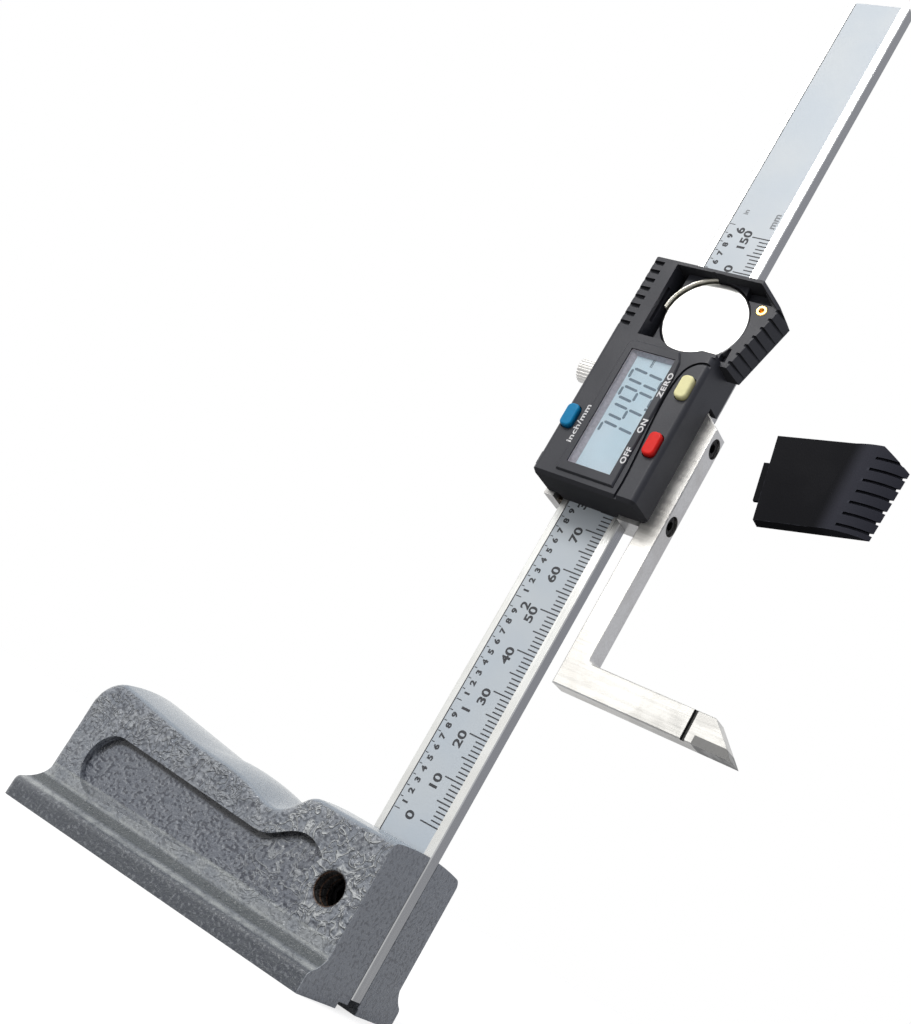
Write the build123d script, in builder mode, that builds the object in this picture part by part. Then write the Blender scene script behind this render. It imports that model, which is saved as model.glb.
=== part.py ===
from build123d import *
import os
from math import cos, radians, sin

os.makedirs("parts", exist_ok=True)

# A 150 mm digital height gauge. All sizes are in millimetres.
# Origin: the middle of the base's underside. +Z runs up the beam, +X points out of the base's front
# end, where the beam stands, and -Y faces the reader of the scale and the display.

# ---- base casting ----
base_length = 93.0
base_width = 37.0
foot_edge = 4.2
cove_top = 11.0
body_width = 29.2
body_rear_gap = 4.2
block_height = 31.9
block_length = 20.0
rear_height = 32.4
dip_height = 26.2
top_crown = 2.2
dip_crown = 2.7
body_edge_radius = 2.0
foot_corner_radius = 3.0
foot_lip_radius = 1.4
pocket_depth = 1.6
pocket_low = 8.8
pocket_high = 22.6
boss_radius = 6.3

# ---- beam ----
beam_width = 16.0
beam_thickness = 3.5
beam_bottom = 2.5
beam_top = 260.0
scale_zero = 38.5
label_width = 12.1
label_shift = -0.25
label_thickness = 0.12
stator_thickness = 0.5
label_start = 29.0
slot_side_gap = 0.05
slot_front_gap = 0.6

# ---- clamp screw of the beam, in the base ----
clamp_radius = 3.4
clamp_thread_radius = 4.0
clamp_pitch = 1.25
clamp_turns = 5
clamp_height = 18.5
clamp_length = 8.0
clamp_socket = 4.0

# ---- slider ----
reading = 74.9
running_gap = 0.06
gib_thickness = 0.9
wall_left = 2.5
wall_right = 5.5
plate_back = 2.0
frame_front = 2.4
frame_bottom = 112.4
frame_top = 170.8

# ---- display housing ----
housing_left = 11.5
housing_right = 15.0
housing_bottom = 113.4
housing_top = 171.2
housing_depth = 11.3
wall = 1.2
front_fillet = 1.2
lip_thickness = 1.4
lip_gap = 0.2
bay_left = 5.2
channel_width = 2.1
channel_depth = 3.0
bay_bottom = 151.3
bay_wall = 0.8
tray_depth = 3.1
skirt_back = 2.0
grip_back = -2.0
grip_reach = 5.7
grip_flare = 1.3
grip_lean = 0.28
slant_start = 1.4
slant_run = 4.8
slant_drop = 3.6
rib_count = 7
rib_pitch = 2.45
groove_width = 0.55
groove_sink = 0.6
notch_count = 8
notch_pitch = 2.35
notch_width = 1.1
notch_depth = 0.9

# ---- display ----
window_left = 4.15
window_right = 7.05
window_low = 117.7
window_high = 147.3
panel_proud = 0.55
panel_left = 5.8
panel_low = 115.4
panel_high = 149.4
fit_gap = 0.05
groove_line = 0.6

# ---- buttons ----
button_width = 3.0
button_length = 5.6
button_corner = 1.2
button_proud = 1.3
button_travel = 0.4
button_gap = 0.15
flange_rim = 0.4
flange_thickness = 0.7
stem_radius = 1.0
dome_radius = 1.05
dome_height = 0.65
strip_x = 12.4
blue_x = 9.2
blue_z = 127.8
red_z = 127.1
yellow_z = 141.6

# ---- battery ----
cell_radius = 10.0
cell_thickness = 3.2
cell_x = 6.2
cell_z = 160.2
cell_gap = 0.3
floor_thickness = 1.0
contact_thickness = 0.25
contact_strip = 0.25
contact_proud = 0.7

# ---- battery cover ----
cover_gap = 0.2
cover_skin = 1.0
cover_rim = 1.0
tab_length = 8.5
tab_reach = 1.8
tab_thickness = 0.8
cover_bend = 11.6
cover_rib_height = 0.6
cover_groove = 0.6
cover_lift = 4.6
cover_turn = 11.5
cover_pivot_x = 229.3
cover_pivot_z = 370.9

# ---- scriber arm ----
arm_width = 5.4
arm_thickness = 5.3
arm_front = 2.4
limb_height = 6.6
arm_reach = 42.1
arm_top = 143.0
arm_top_drop = 4.2
nose_length = 6.8
groove_from_tip = 11.0
groove_width = 0.7
groove_depth = 0.5
carbide_length = 9.0
carbide_height = 1.9
carbide_thickness = 2.6
arm_screw_low = 115.8
arm_screw_high = 135.5
arm_screw_radius = 1.25
arm_head_radius = 2.25
arm_head_length = 2.5
arm_counterbore = 3.0
arm_screw_y = 0.6

# ---- lock screw and gib screws ----
lock_z = 145.2
lock_radius = 1.5
knob_radius = 2.9
knob_length = 6.2
neck_radius = 2.3
neck_length = 4.0
knob_flutes = 24
gib_screw_radius = 1.2

# ---- shared places ----
front_x = base_length / 2
rear_x = -base_length / 2
beam_x = front_x - beam_width / 2
beam_left = beam_x - beam_width / 2
body_rear = rear_x + body_rear_gap
half_body = body_width / 2
gib_left = beam_left - running_gap - gib_thickness - running_gap / 2
frame_left = gib_left - wall_left
channel_right = front_x + running_gap
frame_right = channel_right + wall_right
arm_left = frame_right
arm_right = arm_left + arm_width
channel_back = beam_thickness + running_gap
frame_back = channel_back + plate_back
frame_mid_y = beam_thickness / 2
tray_y = -(housing_depth - tray_depth)
pocket_floor_y = tray_y + cell_thickness + cell_gap + contact_thickness
scribe_height = reading
contact_inner = cell_radius + cell_gap
contact_outer = contact_inner + contact_strip


def front_plane(y):
    """A plane that faces the reader, at the given y. Its own axes are world X and Z."""
    return Plane.XZ.offset(-y)


def save(piece, name):
    piece.part.label = name
    export_step(piece.part, "parts/" + name + ".step")


# ---- base casting: foot with a cove all round, and a body whose top dips before the front block ----
with BuildPart() as foot:
    with BuildSketch(Plane.YZ):
        with BuildLine():
            Line((-base_width / 2, 0), (base_width / 2, 0))
            Line((base_width / 2, 0), (base_width / 2, foot_edge))
            RadiusArc((base_width / 2, foot_edge), (half_body - 0.7, cove_top), cove_top - foot_edge)
            Line((half_body - 0.7, cove_top), (0.7 - half_body, cove_top))
            RadiusArc((0.7 - half_body, cove_top), (-base_width / 2, foot_edge), cove_top - foot_edge)
            Line((-base_width / 2, foot_edge), (-base_width / 2, 0))
        make_face()
    extrude(amount=base_length / 2, both=True)
    with BuildSketch(Plane.XZ):
        with BuildLine():
            Line((rear_x, 0), (front_x, 0))
            Line((front_x, 0), (front_x, cove_top))
            Line((front_x, cove_top), (body_rear + 0.7, cove_top))
            RadiusArc((body_rear + 0.7, cove_top), (rear_x, foot_edge), cove_top - foot_edge)
            Line((rear_x, foot_edge), (rear_x, 0))
        make_face()
    extrude(amount=base_width, both=True, mode=Mode.INTERSECT)
    with BuildSketch(Plane.XY):
        with BuildLine():
            Polyline(
                (rear_x + foot_corner_radius, -base_width / 2),
                (front_x, -base_width / 2),
                (front_x, base_width / 2),
                (rear_x + foot_corner_radius, base_width / 2),
            )
            RadiusArc(
                (rear_x + foot_corner_radius, base_width / 2),
                (rear_x, base_width / 2 - foot_corner_radius),
                -foot_corner_radius,
            )
            Line(
                (rear_x, base_width / 2 - foot_corner_radius),
                (rear_x, foot_corner_radius - base_width / 2),
            )
            RadiusArc(
                (rear_x, foot_corner_radius - base_width / 2),
                (rear_x + foot_corner_radius, -base_width / 2),
                -foot_corner_radius,
            )
        make_face()
    extrude(amount=cove_top, mode=Mode.INTERSECT)
    lip_edges = foot.edges().filter_by(lambda e: abs(e.center().Z - foot_edge) < 0.6)
    lip_edges = lip_edges.filter_by(lambda e: e.center().X < front_x - 0.1)
    fillet(lip_edges, foot_lip_radius)

block_rear = front_x - block_length
dip_x = block_rear - 8.5

with BuildPart() as base_casting:
    # the body is crowned: its outline in the middle stands higher than at its two sides
    for side_y, crown, crown_in_dip in (
        (-half_body, 0.0, 0.0),
        (0.0, top_crown, dip_crown),
        (half_body, 0.0, 0.0),
    ):
        with BuildSketch(front_plane(side_y)):
            with BuildLine():
                Line((front_x + 1.0, 0), (front_x + 1.0, block_height + crown / 2))
                Line(
                    (front_x + 1.0, block_height + crown / 2),
                    (block_rear - 0.5, block_height + crown / 2),
                )
                Spline(
                    (block_rear - 0.5, block_height + crown / 2),
                    (block_rear - 5.2, dip_height + 2.4 + crown_in_dip),
                    (dip_x, dip_height + crown_in_dip),
                    (dip_x - 9.0, dip_height + 1.1 + crown_in_dip),
                    (dip_x - 22.0, dip_height + 2.5 + crown_in_dip),
                    (body_rear + 6.0, rear_height + crown),
                    tangents=[(-1, 0), (-1, 0.12)],
                )
                RadiusArc(
                    (body_rear + 6.0, rear_height + crown),
                    (body_rear, rear_height + crown - 8.0),
                    -7.5,
                )
                Line((body_rear, rear_height + crown - 8.0), (body_rear, 0))
                Line((body_rear, 0), (front_x + 1.0, 0))
            make_face()
    loft()
    side_edges = base_casting.edges().filter_by(lambda e: abs(abs(e.center().Y) - half_body) < 0.01)
    side_edges = side_edges.filter_by(lambda e: e.center().Z > 1 and e.center().X < front_x)
    fillet(side_edges, body_edge_radius)
    with BuildSketch(Plane.YZ.offset(front_x)):
        Rectangle(base_width + 2.0, 3 * block_height)
    extrude(amount=2.0, mode=Mode.SUBTRACT)
    add(foot.part)
    # the shallow pocket in each long side, whose top lifts over the clamp screw's boss
    pocket_mid = (pocket_low + pocket_high) / 2
    pocket_radius = (pocket_high - pocket_low) / 2
    pocket_rear = body_rear + 8.2 + pocket_radius
    with BuildSketch(front_plane(-half_body)):
        with BuildLine():
            Line((pocket_rear, pocket_high), (beam_left - 14.5, pocket_high - 1.8))
            Spline(
                (beam_left - 14.5, pocket_high - 1.8),
                (beam_left - 8.0, pocket_high + 0.6),
                (beam_left - 2.6, pocket_high + 2.4),
                (beam_left + 4.0, pocket_high - 0.6),
                tangents=[(1, 0), (1, -1)],
            )
            Line((beam_left + 4.0, pocket_high - 0.6), (beam_left + 4.0, pocket_low + 2.6))
            Line((beam_left + 4.0, pocket_low + 2.6), (pocket_rear, pocket_low))
            ThreePointArc(
                (pocket_rear, pocket_low),
                (pocket_rear - pocket_radius, pocket_mid),
                (pocket_rear, pocket_high),
            )
        make_face()
        with Locations((beam_x, clamp_height)):
            Circle(boss_radius, mode=Mode.SUBTRACT)
    pocket_near = extrude(amount=-pocket_depth, mode=Mode.SUBTRACT)
    mirror(pocket_near, about=Plane.XZ, mode=Mode.SUBTRACT)
    # the slot that the beam stands in, open at the front end, with a relief under it
    with BuildSketch(Plane.XY):
        with Locations((front_x + 1.0, beam_thickness + slot_side_gap)):
            Rectangle(
                beam_width + 1.0 + 2 * slot_side_gap,
                beam_thickness + slot_side_gap + slot_front_gap,
                align=(Align.MAX, Align.MAX),
            )
    extrude(amount=block_height + top_crown + 1.0, mode=Mode.SUBTRACT)
    with BuildSketch(Plane.XY):
        with Locations((front_x + 1.0, beam_thickness / 2 - 1.8)):
            Rectangle(beam_width + 3.0, beam_thickness + 4.4, align=(Align.MAX, Align.CENTER))
    extrude(amount=1.4, mode=Mode.SUBTRACT)
    # the tapped hole for the clamp screw; its thread is drawn as rings at the screw's pitch
    with BuildSketch(Plane.XY.offset(clamp_height)):
        with BuildLine():
            mouth = [(beam_x, -half_body - 0.5), (beam_x + clamp_thread_radius + 0.7, -half_body - 0.5)]
            rings = []
            for turn in range(clamp_turns):
                ring_y = -half_body + 0.4 + turn * clamp_pitch
                rings.append((beam_x + clamp_radius, ring_y))
                rings.append((beam_x + clamp_thread_radius, ring_y + clamp_pitch / 2))
            ring_end = -half_body + 0.4 + clamp_turns * clamp_pitch
            floor = [
                (beam_x + clamp_radius + fit_gap, ring_end),
                (beam_x + clamp_radius + fit_gap, 1.0 - slot_front_gap),
                (beam_x, 1.0 - slot_front_gap),
            ]
            Polyline(*mouth, *rings, *floor, close=True)
        make_face()
    revolve(axis=Axis((beam_x, 0, clamp_height), (0, 1, 0)), mode=Mode.SUBTRACT)
save(base_casting, "base_casting")

# ---- clamp screw: a socket set screw that presses the beam against the slot's far wall ----
with BuildPart() as beam_clamp_screw:
    with BuildSketch(front_plane(0)):
        with Locations((beam_x, clamp_height)):
            Circle(clamp_radius)
    extrude(amount=clamp_length)
    chamfer(beam_clamp_screw.edges().filter_by(GeomType.CIRCLE), 0.6)
    with BuildSketch(front_plane(-clamp_length)):
        with Locations((beam_x, clamp_height)):
            RegularPolygon(clamp_socket / 2, 6, major_radius=False)
    extrude(amount=-3.0, mode=Mode.SUBTRACT)
save(beam_clamp_screw, "beam_clamp_screw")

# ---- beam, with a long shallow recess in its face for the scale ----
recess_depth = label_thickness + stator_thickness
with BuildPart() as beam:
    with BuildSketch(Plane.XY.offset(beam_bottom)):
        with Locations((beam_x, beam_thickness / 2)):
            Rectangle(beam_width, beam_thickness)
    extrude(amount=beam_top - beam_bottom)
    chamfer(beam.edges().filter_by(Axis.Z), 0.25)
    chamfer(beam.faces().sort_by(Axis.Z)[-1].edges(), 0.25)
    with BuildSketch(Plane.XY.offset(label_start)):
        with Locations((beam_x + label_shift, 0)):
            Rectangle(label_width, 2 * recess_depth)
    extrude(amount=beam_top, mode=Mode.SUBTRACT)
save(beam, "beam")

with BuildPart() as scale_stator:
    with BuildSketch(Plane.XY.offset(label_start)):
        with Locations((beam_x + label_shift, label_thickness)):
            Rectangle(label_width, stator_thickness, align=(Align.CENTER, Align.MIN))
    extrude(amount=beam_top - 0.3 - label_start)
save(scale_stator, "scale_stator")

with BuildPart() as scale_label:
    with BuildSketch(Plane.XY.offset(label_start)):
        with Locations((beam_x + label_shift, 0)):
            Rectangle(label_width, label_thickness, align=(Align.CENTER, Align.MIN))
    extrude(amount=beam_top - 0.3 - label_start)
save(scale_label, "scale_label")

# ---- slider frame: a steel channel open towards the reader ----
screw_places = [
    (frame_left + wall_left / 2, housing_bottom + 3.4),
    (frame_left + wall_left / 2, housing_top - 3.4),
    (frame_right - wall_right / 2, housing_bottom + 7.4),
    (frame_right - wall_right / 2, bay_bottom - 3.0),
]
screw_radius = 0.75
boss_width = 2.5
gib_screw_heights = (frame_bottom + 9.0, frame_top - 8.0)

with BuildPart() as slider_frame:
    with BuildSketch(Plane.XY.offset(frame_bottom)):
        with Locations((frame_left, -frame_front)):
            Rectangle(
                frame_right - frame_left, frame_front + frame_back, align=(Align.MIN, Align.MIN)
            )
        with Locations((gib_left, channel_back)):
            Rectangle(
                channel_right - gib_left,
                channel_back + frame_front + 1.0,
                align=(Align.MIN, Align.MAX),
                mode=Mode.SUBTRACT,
            )
    extrude(amount=frame_top - frame_bottom)
    back_edges = slider_frame.edges().filter_by(Axis.Z).group_by(Axis.Y)[-1]
    chamfer(back_edges, 0.6)
    # tapped holes for the arm's screws
    with BuildSketch(Plane.YZ.offset(frame_right)):
        with Locations((arm_screw_y, arm_screw_low), (arm_screw_y, arm_screw_high)):
            Circle(arm_screw_radius + fit_gap)
    extrude(amount=-wall_right, mode=Mode.SUBTRACT)
    # lock screw and gib screws, through the thin wall
    with BuildSketch(Plane.YZ.offset(frame_left)):
        with Locations((frame_mid_y, lock_z)):
            Circle(lock_radius + fit_gap)
        with Locations((frame_mid_y, gib_screw_heights[0]), (frame_mid_y, gib_screw_heights[1])):
            Circle(gib_screw_radius + fit_gap)
    extrude(amount=wall_left, mode=Mode.SUBTRACT)
    # clearance holes for the housing's screws, countersunk in the back
    with BuildSketch(front_plane(frame_back)):
        with Locations(*screw_places):
            Circle(screw_radius + 0.1)
    extrude(amount=frame_back + frame_front, mode=Mode.SUBTRACT)
    with BuildSketch(front_plane(frame_back)):
        with Locations(*screw_places):
            Circle(screw_radius + 0.45)
    extrude(amount=0.8, mode=Mode.SUBTRACT)
save(slider_frame, "slider_frame")

with BuildPart() as gib_strip:
    with BuildSketch(Plane.XY.offset(frame_bottom + 0.6)):
        with Locations((gib_left + running_gap / 2, 0.1)):
            Rectangle(gib_thickness, beam_thickness - 0.2, align=(Align.MIN, Align.MIN))
    extrude(amount=frame_top - frame_bottom - 1.2)
save(gib_strip, "gib_strip")

with BuildPart() as gib_screws:
    with BuildSketch(Plane.YZ.offset(frame_left)):
        with Locations((frame_mid_y, gib_screw_heights[0]), (frame_mid_y, gib_screw_heights[1])):
            Circle(gib_screw_radius)
    extrude(amount=wall_left)
    chamfer(gib_screws.edges().filter_by(GeomType.CIRCLE).group_by(Axis.X)[0], 0.25)
    with BuildSketch(Plane.YZ.offset(frame_left)):
        with Locations((frame_mid_y, gib_screw_heights[0]), (frame_mid_y, gib_screw_heights[1])):
            Rectangle(0.45, 1.9)
    extrude(amount=0.7, mode=Mode.SUBTRACT)
save(gib_screws, "gib_screws")

# ---- lock screw: a knurled thumb screw with a long neck ----
neck_end = frame_left - 0.2 - neck_length
knob_end = neck_end - knob_length
with BuildPart() as lock_screw:
    with BuildSketch(Plane.YZ.offset(knob_end)):
        with Locations((frame_mid_y, lock_z)):
            Circle(knob_radius)
        with Locations((frame_mid_y, lock_z)):
            with PolarLocations(knob_radius + 0.12, knob_flutes):
                Circle(0.3, mode=Mode.SUBTRACT)
    extrude(amount=knob_length)
    with BuildSketch(Plane.YZ.offset(neck_end)):
        with Locations((frame_mid_y, lock_z)):
            Circle(neck_radius)
    extrude(amount=neck_length)
    with BuildSketch(Plane.YZ.offset(frame_left - 0.2)):
        with Locations((frame_mid_y, lock_z)):
            Circle(lock_radius)
    extrude(amount=wall_left + 0.1)
save(lock_screw, "lock_screw")

# ---- display housing: one shell with the display side, the button strip, the bay and the grips ----
grip_inner = beam_x + housing_right
grip_outer = grip_inner + grip_reach + grip_flare
left_x = beam_x - housing_left
grip_foot = bay_bottom - 0.9
grip_shoulder = housing_top - 6.7
cell_place = (beam_x + cell_x, cell_z)
pocket_radius_cell = cell_radius + cell_gap
slant = slant_drop / slant_run
slant_wall = bay_wall * 1.25


def grip_edge(height):
    """How far out the grip's front edge stands. The grip leans outwards with height."""
    return grip_inner + grip_reach + (height - grip_shoulder) * grip_lean


with BuildPart() as grip:
    for level in (grip_foot, housing_top):
        with BuildSketch(Plane.XY.offset(level)):
            with BuildLine():
                Polyline(
                    (grip_inner - 1.3, -housing_depth),
                    (grip_inner + slant_start, -housing_depth),
                    (grip_edge(level), tray_y),
                    (grip_edge(level) + grip_flare, grip_back),
                    (grip_inner - 1.3, grip_back),
                    close=True,
                )
            make_face()
    loft(ruled=True)
    # seen from the front, the grip is cut aslant at its top
    with BuildSketch(front_plane(grip_back + 1.0)):
        with BuildLine():
            Polyline(
                (grip_inner - 1.3, grip_foot),
                (grip_outer + 1.0, grip_foot),
                (grip_outer + 1.0, housing_top - slant_drop - 2.0),
                (grip_inner + slant_start + slant_run, housing_top - slant_drop),
                (grip_inner + slant_start, housing_top),
                (grip_inner - 1.3, housing_top),
                close=True,
            )
        make_face()
    extrude(amount=grip_back + housing_depth + 2.0, mode=Mode.INTERSECT)
    # in front, nothing of the grip stands below the bay
    with BuildSketch(front_plane(tray_y)):
        with Locations((grip_inner, grip_foot - 1.0)):
            Rectangle(grip_reach + 3.0, bay_bottom - grip_foot + 2.0, align=(Align.MIN, Align.MIN))
    extrude(amount=housing_depth, mode=Mode.SUBTRACT)
    # the grooves between the ribs run out towards the back
    for groove in range(rib_count):
        groove_z = bay_bottom + 0.2 + groove * rib_pitch
        with BuildSketch(Plane.XY.offset(groove_z)):
            with BuildLine():
                Polyline(
                    (grip_edge(groove_z) - groove_sink, tray_y - 0.2),
                    (grip_edge(groove_z) + 1.0, tray_y - 0.2),
                    (grip_edge(groove_z) + grip_flare + 1.0, grip_back - 0.4),
                    (grip_edge(groove_z) + grip_flare - 0.1, grip_back - 0.4),
                    close=True,
                )
            make_face()
        extrude(amount=groove_width, mode=Mode.SUBTRACT)


def bay_corners(inset):
    """Corners of the battery bay seen from the front, drawn in by inset."""
    roof = housing_top - bay_wall - inset
    slant_top = housing_top - slant_wall - inset
    return [
        (beam_x - bay_left + inset, bay_bottom + inset),
        (grip_outer + 1.0, bay_bottom + inset),
        (grip_outer + 1.0, slant_top - (grip_outer + 1.0 - grip_inner - slant_start) * slant),
        (grip_inner + slant_start - (roof - slant_top) / slant, roof),
        (beam_x - bay_left + inset, roof),
    ]


with BuildPart() as housing:
    with BuildSketch(front_plane(-frame_front)):
        with BuildLine():
            Polyline(
                (left_x, housing_bottom),
                (grip_inner, housing_bottom),
                (grip_inner, housing_top),
                (left_x, housing_top),
                close=True,
            )
        make_face()
    extrude(amount=housing_depth - frame_front)
    front_edges = housing.faces().sort_by(Axis.Y)[0].edges()
    fillet(front_edges.filter_by(Axis.Z), front_fillet)
    chamfer(housing.edges().filter_by(Axis.Y).group_by(Axis.Z)[0], 0.8)
    # the skirt beside the frame, above the arm
    with BuildSketch(front_plane(skirt_back)):
        with Locations((frame_right + 0.1, arm_top + 0.1)):
            Rectangle(
                grip_inner - frame_right - 0.1,
                grip_shoulder - arm_top,
                align=(Align.MIN, Align.MIN),
            )
    extrude(amount=frame_front + skirt_back + 1.0)
    add(grip.part)
    # a lip at each end closes the gap between the housing and the beam
    for lip_z in (housing_bottom, housing_top - lip_thickness):
        with BuildSketch(Plane.XY.offset(lip_z)):
            with Locations((beam_x, -frame_front - 0.5)):
                Rectangle(
                    beam_width - 0.6, frame_front + 0.5 - lip_gap, align=(Align.CENTER, Align.MIN)
                )
        extrude(amount=lip_thickness)
    # room for the display and the boards
    with BuildSketch(front_plane(-frame_front)):
        with Locations((left_x + wall, housing_bottom + wall)):
            Rectangle(
                grip_inner - left_x - 2 * wall,
                bay_bottom - housing_bottom - 2 * wall - 0.6,
                align=(Align.MIN, Align.MIN),
            )
    extrude(amount=housing_depth - frame_front - wall, mode=Mode.SUBTRACT)
    # bosses for the screws
    with BuildSketch(front_plane(-frame_front)):
        for place in (screw_places[0], screw_places[2], screw_places[3]):
            with Locations(place):
                Rectangle(boss_width, boss_width + 0.5)
    extrude(amount=housing_depth - frame_front - wall / 2)
    # the tray that the battery cover lies in, with a thin wall left at the top and the slanted corner
    with BuildSketch(front_plane(tray_y)):
        with BuildLine():
            Polyline(*bay_corners(0), close=True)
        make_face()
    extrude(amount=tray_depth + 1.0, mode=Mode.SUBTRACT)
    # the pocket of the coin cell, open right up through the front
    with BuildSketch(front_plane(pocket_floor_y)):
        with Locations(cell_place):
            Circle(pocket_radius_cell)
    extrude(amount=housing_depth, mode=Mode.SUBTRACT)
    # room beside the cell for the positive contact
    with BuildSketch(front_plane(pocket_floor_y)):
        with Locations(cell_place):
            Circle(contact_outer)
            Circle(contact_inner - 0.1, mode=Mode.SUBTRACT)
        with Locations((cell_place[0] - 1.6, cell_place[1] + 0.4)):
            Rectangle(12.0, 12.0, align=(Align.MAX, Align.MIN), mode=Mode.INTERSECT)
    extrude(amount=housing_depth, mode=Mode.SUBTRACT)
    # the deep channel down the bay's left side
    with BuildSketch(front_plane(tray_y)):
        with Locations((beam_x - bay_left, bay_bottom)):
            Rectangle(
                channel_width, housing_top - bay_wall - bay_bottom, align=(Align.MIN, Align.MIN)
            )
    extrude(amount=-channel_depth, mode=Mode.SUBTRACT)
    # the sunk corner behind the brass bush and the catch hole at the grip's foot
    with BuildSketch(front_plane(tray_y)):
        with BuildLine():
            Polyline(
                (beam_x + 12.2, housing_top - bay_wall),
                (beam_x + 12.6, housing_top - bay_wall - 3.1),
                (beam_x + 19.4, housing_top - bay_wall - 3.1),
                (beam_x + 16.0, housing_top - bay_wall),
                close=True,
            )
        make_face()
        with Locations((beam_x + 14.9, bay_bottom + 2.0)):
            Rectangle(1.8, 3.6)
    extrude(amount=-2.2, mode=Mode.SUBTRACT)
    # the slot in the bay's left wall for the cover's tab
    with BuildSketch(Plane.YZ.offset(beam_x - bay_left)):
        with Locations((tray_y - 1.1, cell_z + 0.4)):
            Rectangle(tab_thickness + 0.5, tab_length + 0.8)
    extrude(amount=-(tab_reach + 0.3), mode=Mode.SUBTRACT)
    # the seat of the brass bush
    with BuildSketch(front_plane(tray_y)):
        with Locations((beam_x + 17.6, cell_z + 5.5)):
            Circle(1.3 + fit_gap)
    extrude(amount=-2.5, mode=Mode.SUBTRACT)
    # finger notches down the upper left edge
    for notch in range(notch_count):
        with BuildSketch(front_plane(-housing_depth)):
            with Locations((left_x, housing_top - 1.6 - notch * notch_pitch)):
                Rectangle(6.4, notch_width)
        extrude(amount=-notch_depth, mode=Mode.SUBTRACT)
    # the raised panel round the display
    with BuildSketch(front_plane(-housing_depth)):
        with BuildLine():
            Polyline(
                (beam_x - panel_left, panel_low),
                (beam_x + 8.9, panel_low),
                (beam_x + 8.7, yellow_z + 1.0),
                (beam_x + 8.3, panel_high - 2.4),
                (beam_x + 7.0, panel_high),
                (beam_x - panel_left + 1.2, panel_high),
                (beam_x - panel_left, panel_high - 1.2),
                close=True,
            )
        make_face()
    extrude(amount=panel_proud)
    chamfer(housing.faces().sort_by(Axis.Y)[0].outer_wire().edges(), 0.3)
    # the display's window and the buttons' holes
    with BuildSketch(front_plane(-housing_depth - panel_proud)):
        with Locations((beam_x - window_left, window_low)):
            Rectangle(
                window_left + window_right, window_high - window_low, align=(Align.MIN, Align.MIN)
            )
    extrude(amount=-2 * wall, mode=Mode.SUBTRACT)
    with BuildSketch(front_plane(-housing_depth)):
        with Locations(
            (beam_x - blue_x, blue_z), (beam_x + strip_x, red_z), (beam_x + strip_x, yellow_z)
        ):
            RectangleRounded(
                button_width + 2 * button_gap, button_length + 2 * button_gap, button_corner
            )
    extrude(amount=-2 * wall, both=True, mode=Mode.SUBTRACT)
    # the dark groove that parts the display side from the button strip
    with BuildSketch(front_plane(-housing_depth)):
        with BuildLine():
            Spline(
                (beam_x + 10.1, housing_bottom - 1.0),
                (beam_x + 9.6, red_z + 2.0),
                (beam_x + 9.1, yellow_z - 4.6),
                (beam_x + 9.4, yellow_z + 1.6),
                (beam_x + 10.5, yellow_z + 4.9),
                (beam_x + 12.6, yellow_z + 6.6),
                (grip_inner + 1.0, yellow_z + 6.0),
            )
        trace(line_width=groove_line)
    extrude(amount=-0.7, mode=Mode.SUBTRACT)
    # pilot holes for the screws
    with BuildSketch(front_plane(-frame_front)):
        with Locations(*screw_places):
            Circle(screw_radius + 0.02)
    extrude(amount=4.6, mode=Mode.SUBTRACT)
save(housing, "housing")

with BuildPart() as housing_screws:
    with BuildSketch(front_plane(frame_back)):
        with Locations(*screw_places):
            Circle(screw_radius + 0.35)
    extrude(amount=0.75)
    with BuildSketch(front_plane(frame_back)):
        with Locations(*screw_places):
            Circle(screw_radius)
    extrude(amount=frame_back + frame_front + 4.4)
    with BuildSketch(front_plane(frame_back)):
        with Locations(*screw_places):
            Rectangle(1.5, 0.32)
            Rectangle(0.32, 1.5)
    extrude(amount=0.5, mode=Mode.SUBTRACT)
save(housing_screws, "housing_screws")

# ---- display: lens, liquid crystal glass, its two rubber connectors, and the main board ----
inner_front_y = -housing_depth + wall
lens_front_y = -housing_depth - panel_proud + 0.35
glass_thickness = 1.1
glass_rim = 1.1
board_y = -7.6
board_thickness = 1.0

with BuildPart() as window_lens:
    with BuildSketch(front_plane(inner_front_y)):
        with Locations((beam_x - window_left + fit_gap, window_low + fit_gap)):
            Rectangle(
                window_left + window_right - 2 * fit_gap,
                window_high - window_low - 2 * fit_gap,
                align=(Align.MIN, Align.MIN),
            )
    extrude(amount=inner_front_y - lens_front_y)
    chamfer(window_lens.faces().sort_by(Axis.Y)[0].edges(), 0.3)
save(window_lens, "window_lens")

with BuildPart() as display_glass:
    with BuildSketch(front_plane(inner_front_y + glass_thickness)):
        with Locations((beam_x - window_left - glass_rim, window_low - glass_rim)):
            Rectangle(
                window_left + window_right + 2 * glass_rim,
                window_high - window_low + 2 * glass_rim,
                align=(Align.MIN, Align.MIN),
            )
    extrude(amount=glass_thickness)
save(display_glass, "display_glass")

with BuildPart() as display_connectors:
    with BuildSketch(front_plane(board_y)):
        for side_x in (beam_x - window_left, beam_x + window_right):
            with Locations((side_x, (window_low + window_high) / 2)):
                Rectangle(1.6, window_high - window_low - 1.0)
    extrude(amount=board_y - inner_front_y - glass_thickness)
save(display_connectors, "display_connectors")

with BuildPart() as main_board:
    with BuildSketch(front_plane(board_y + board_thickness)):
        with Locations((left_x + wall + 0.2, housing_bottom + wall + 0.2)):
            Rectangle(
                grip_inner - left_x - 2 * wall - 0.4,
                bay_bottom - housing_bottom - 2 * wall - 1.0,
                align=(Align.MIN, Align.MIN),
            )
        for place in (screw_places[0], screw_places[2], screw_places[3]):
            with Locations(place):
                Rectangle(boss_width + 0.6, boss_width + 1.1, mode=Mode.SUBTRACT)
    extrude(amount=board_thickness)
save(main_board, "main_board")

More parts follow.
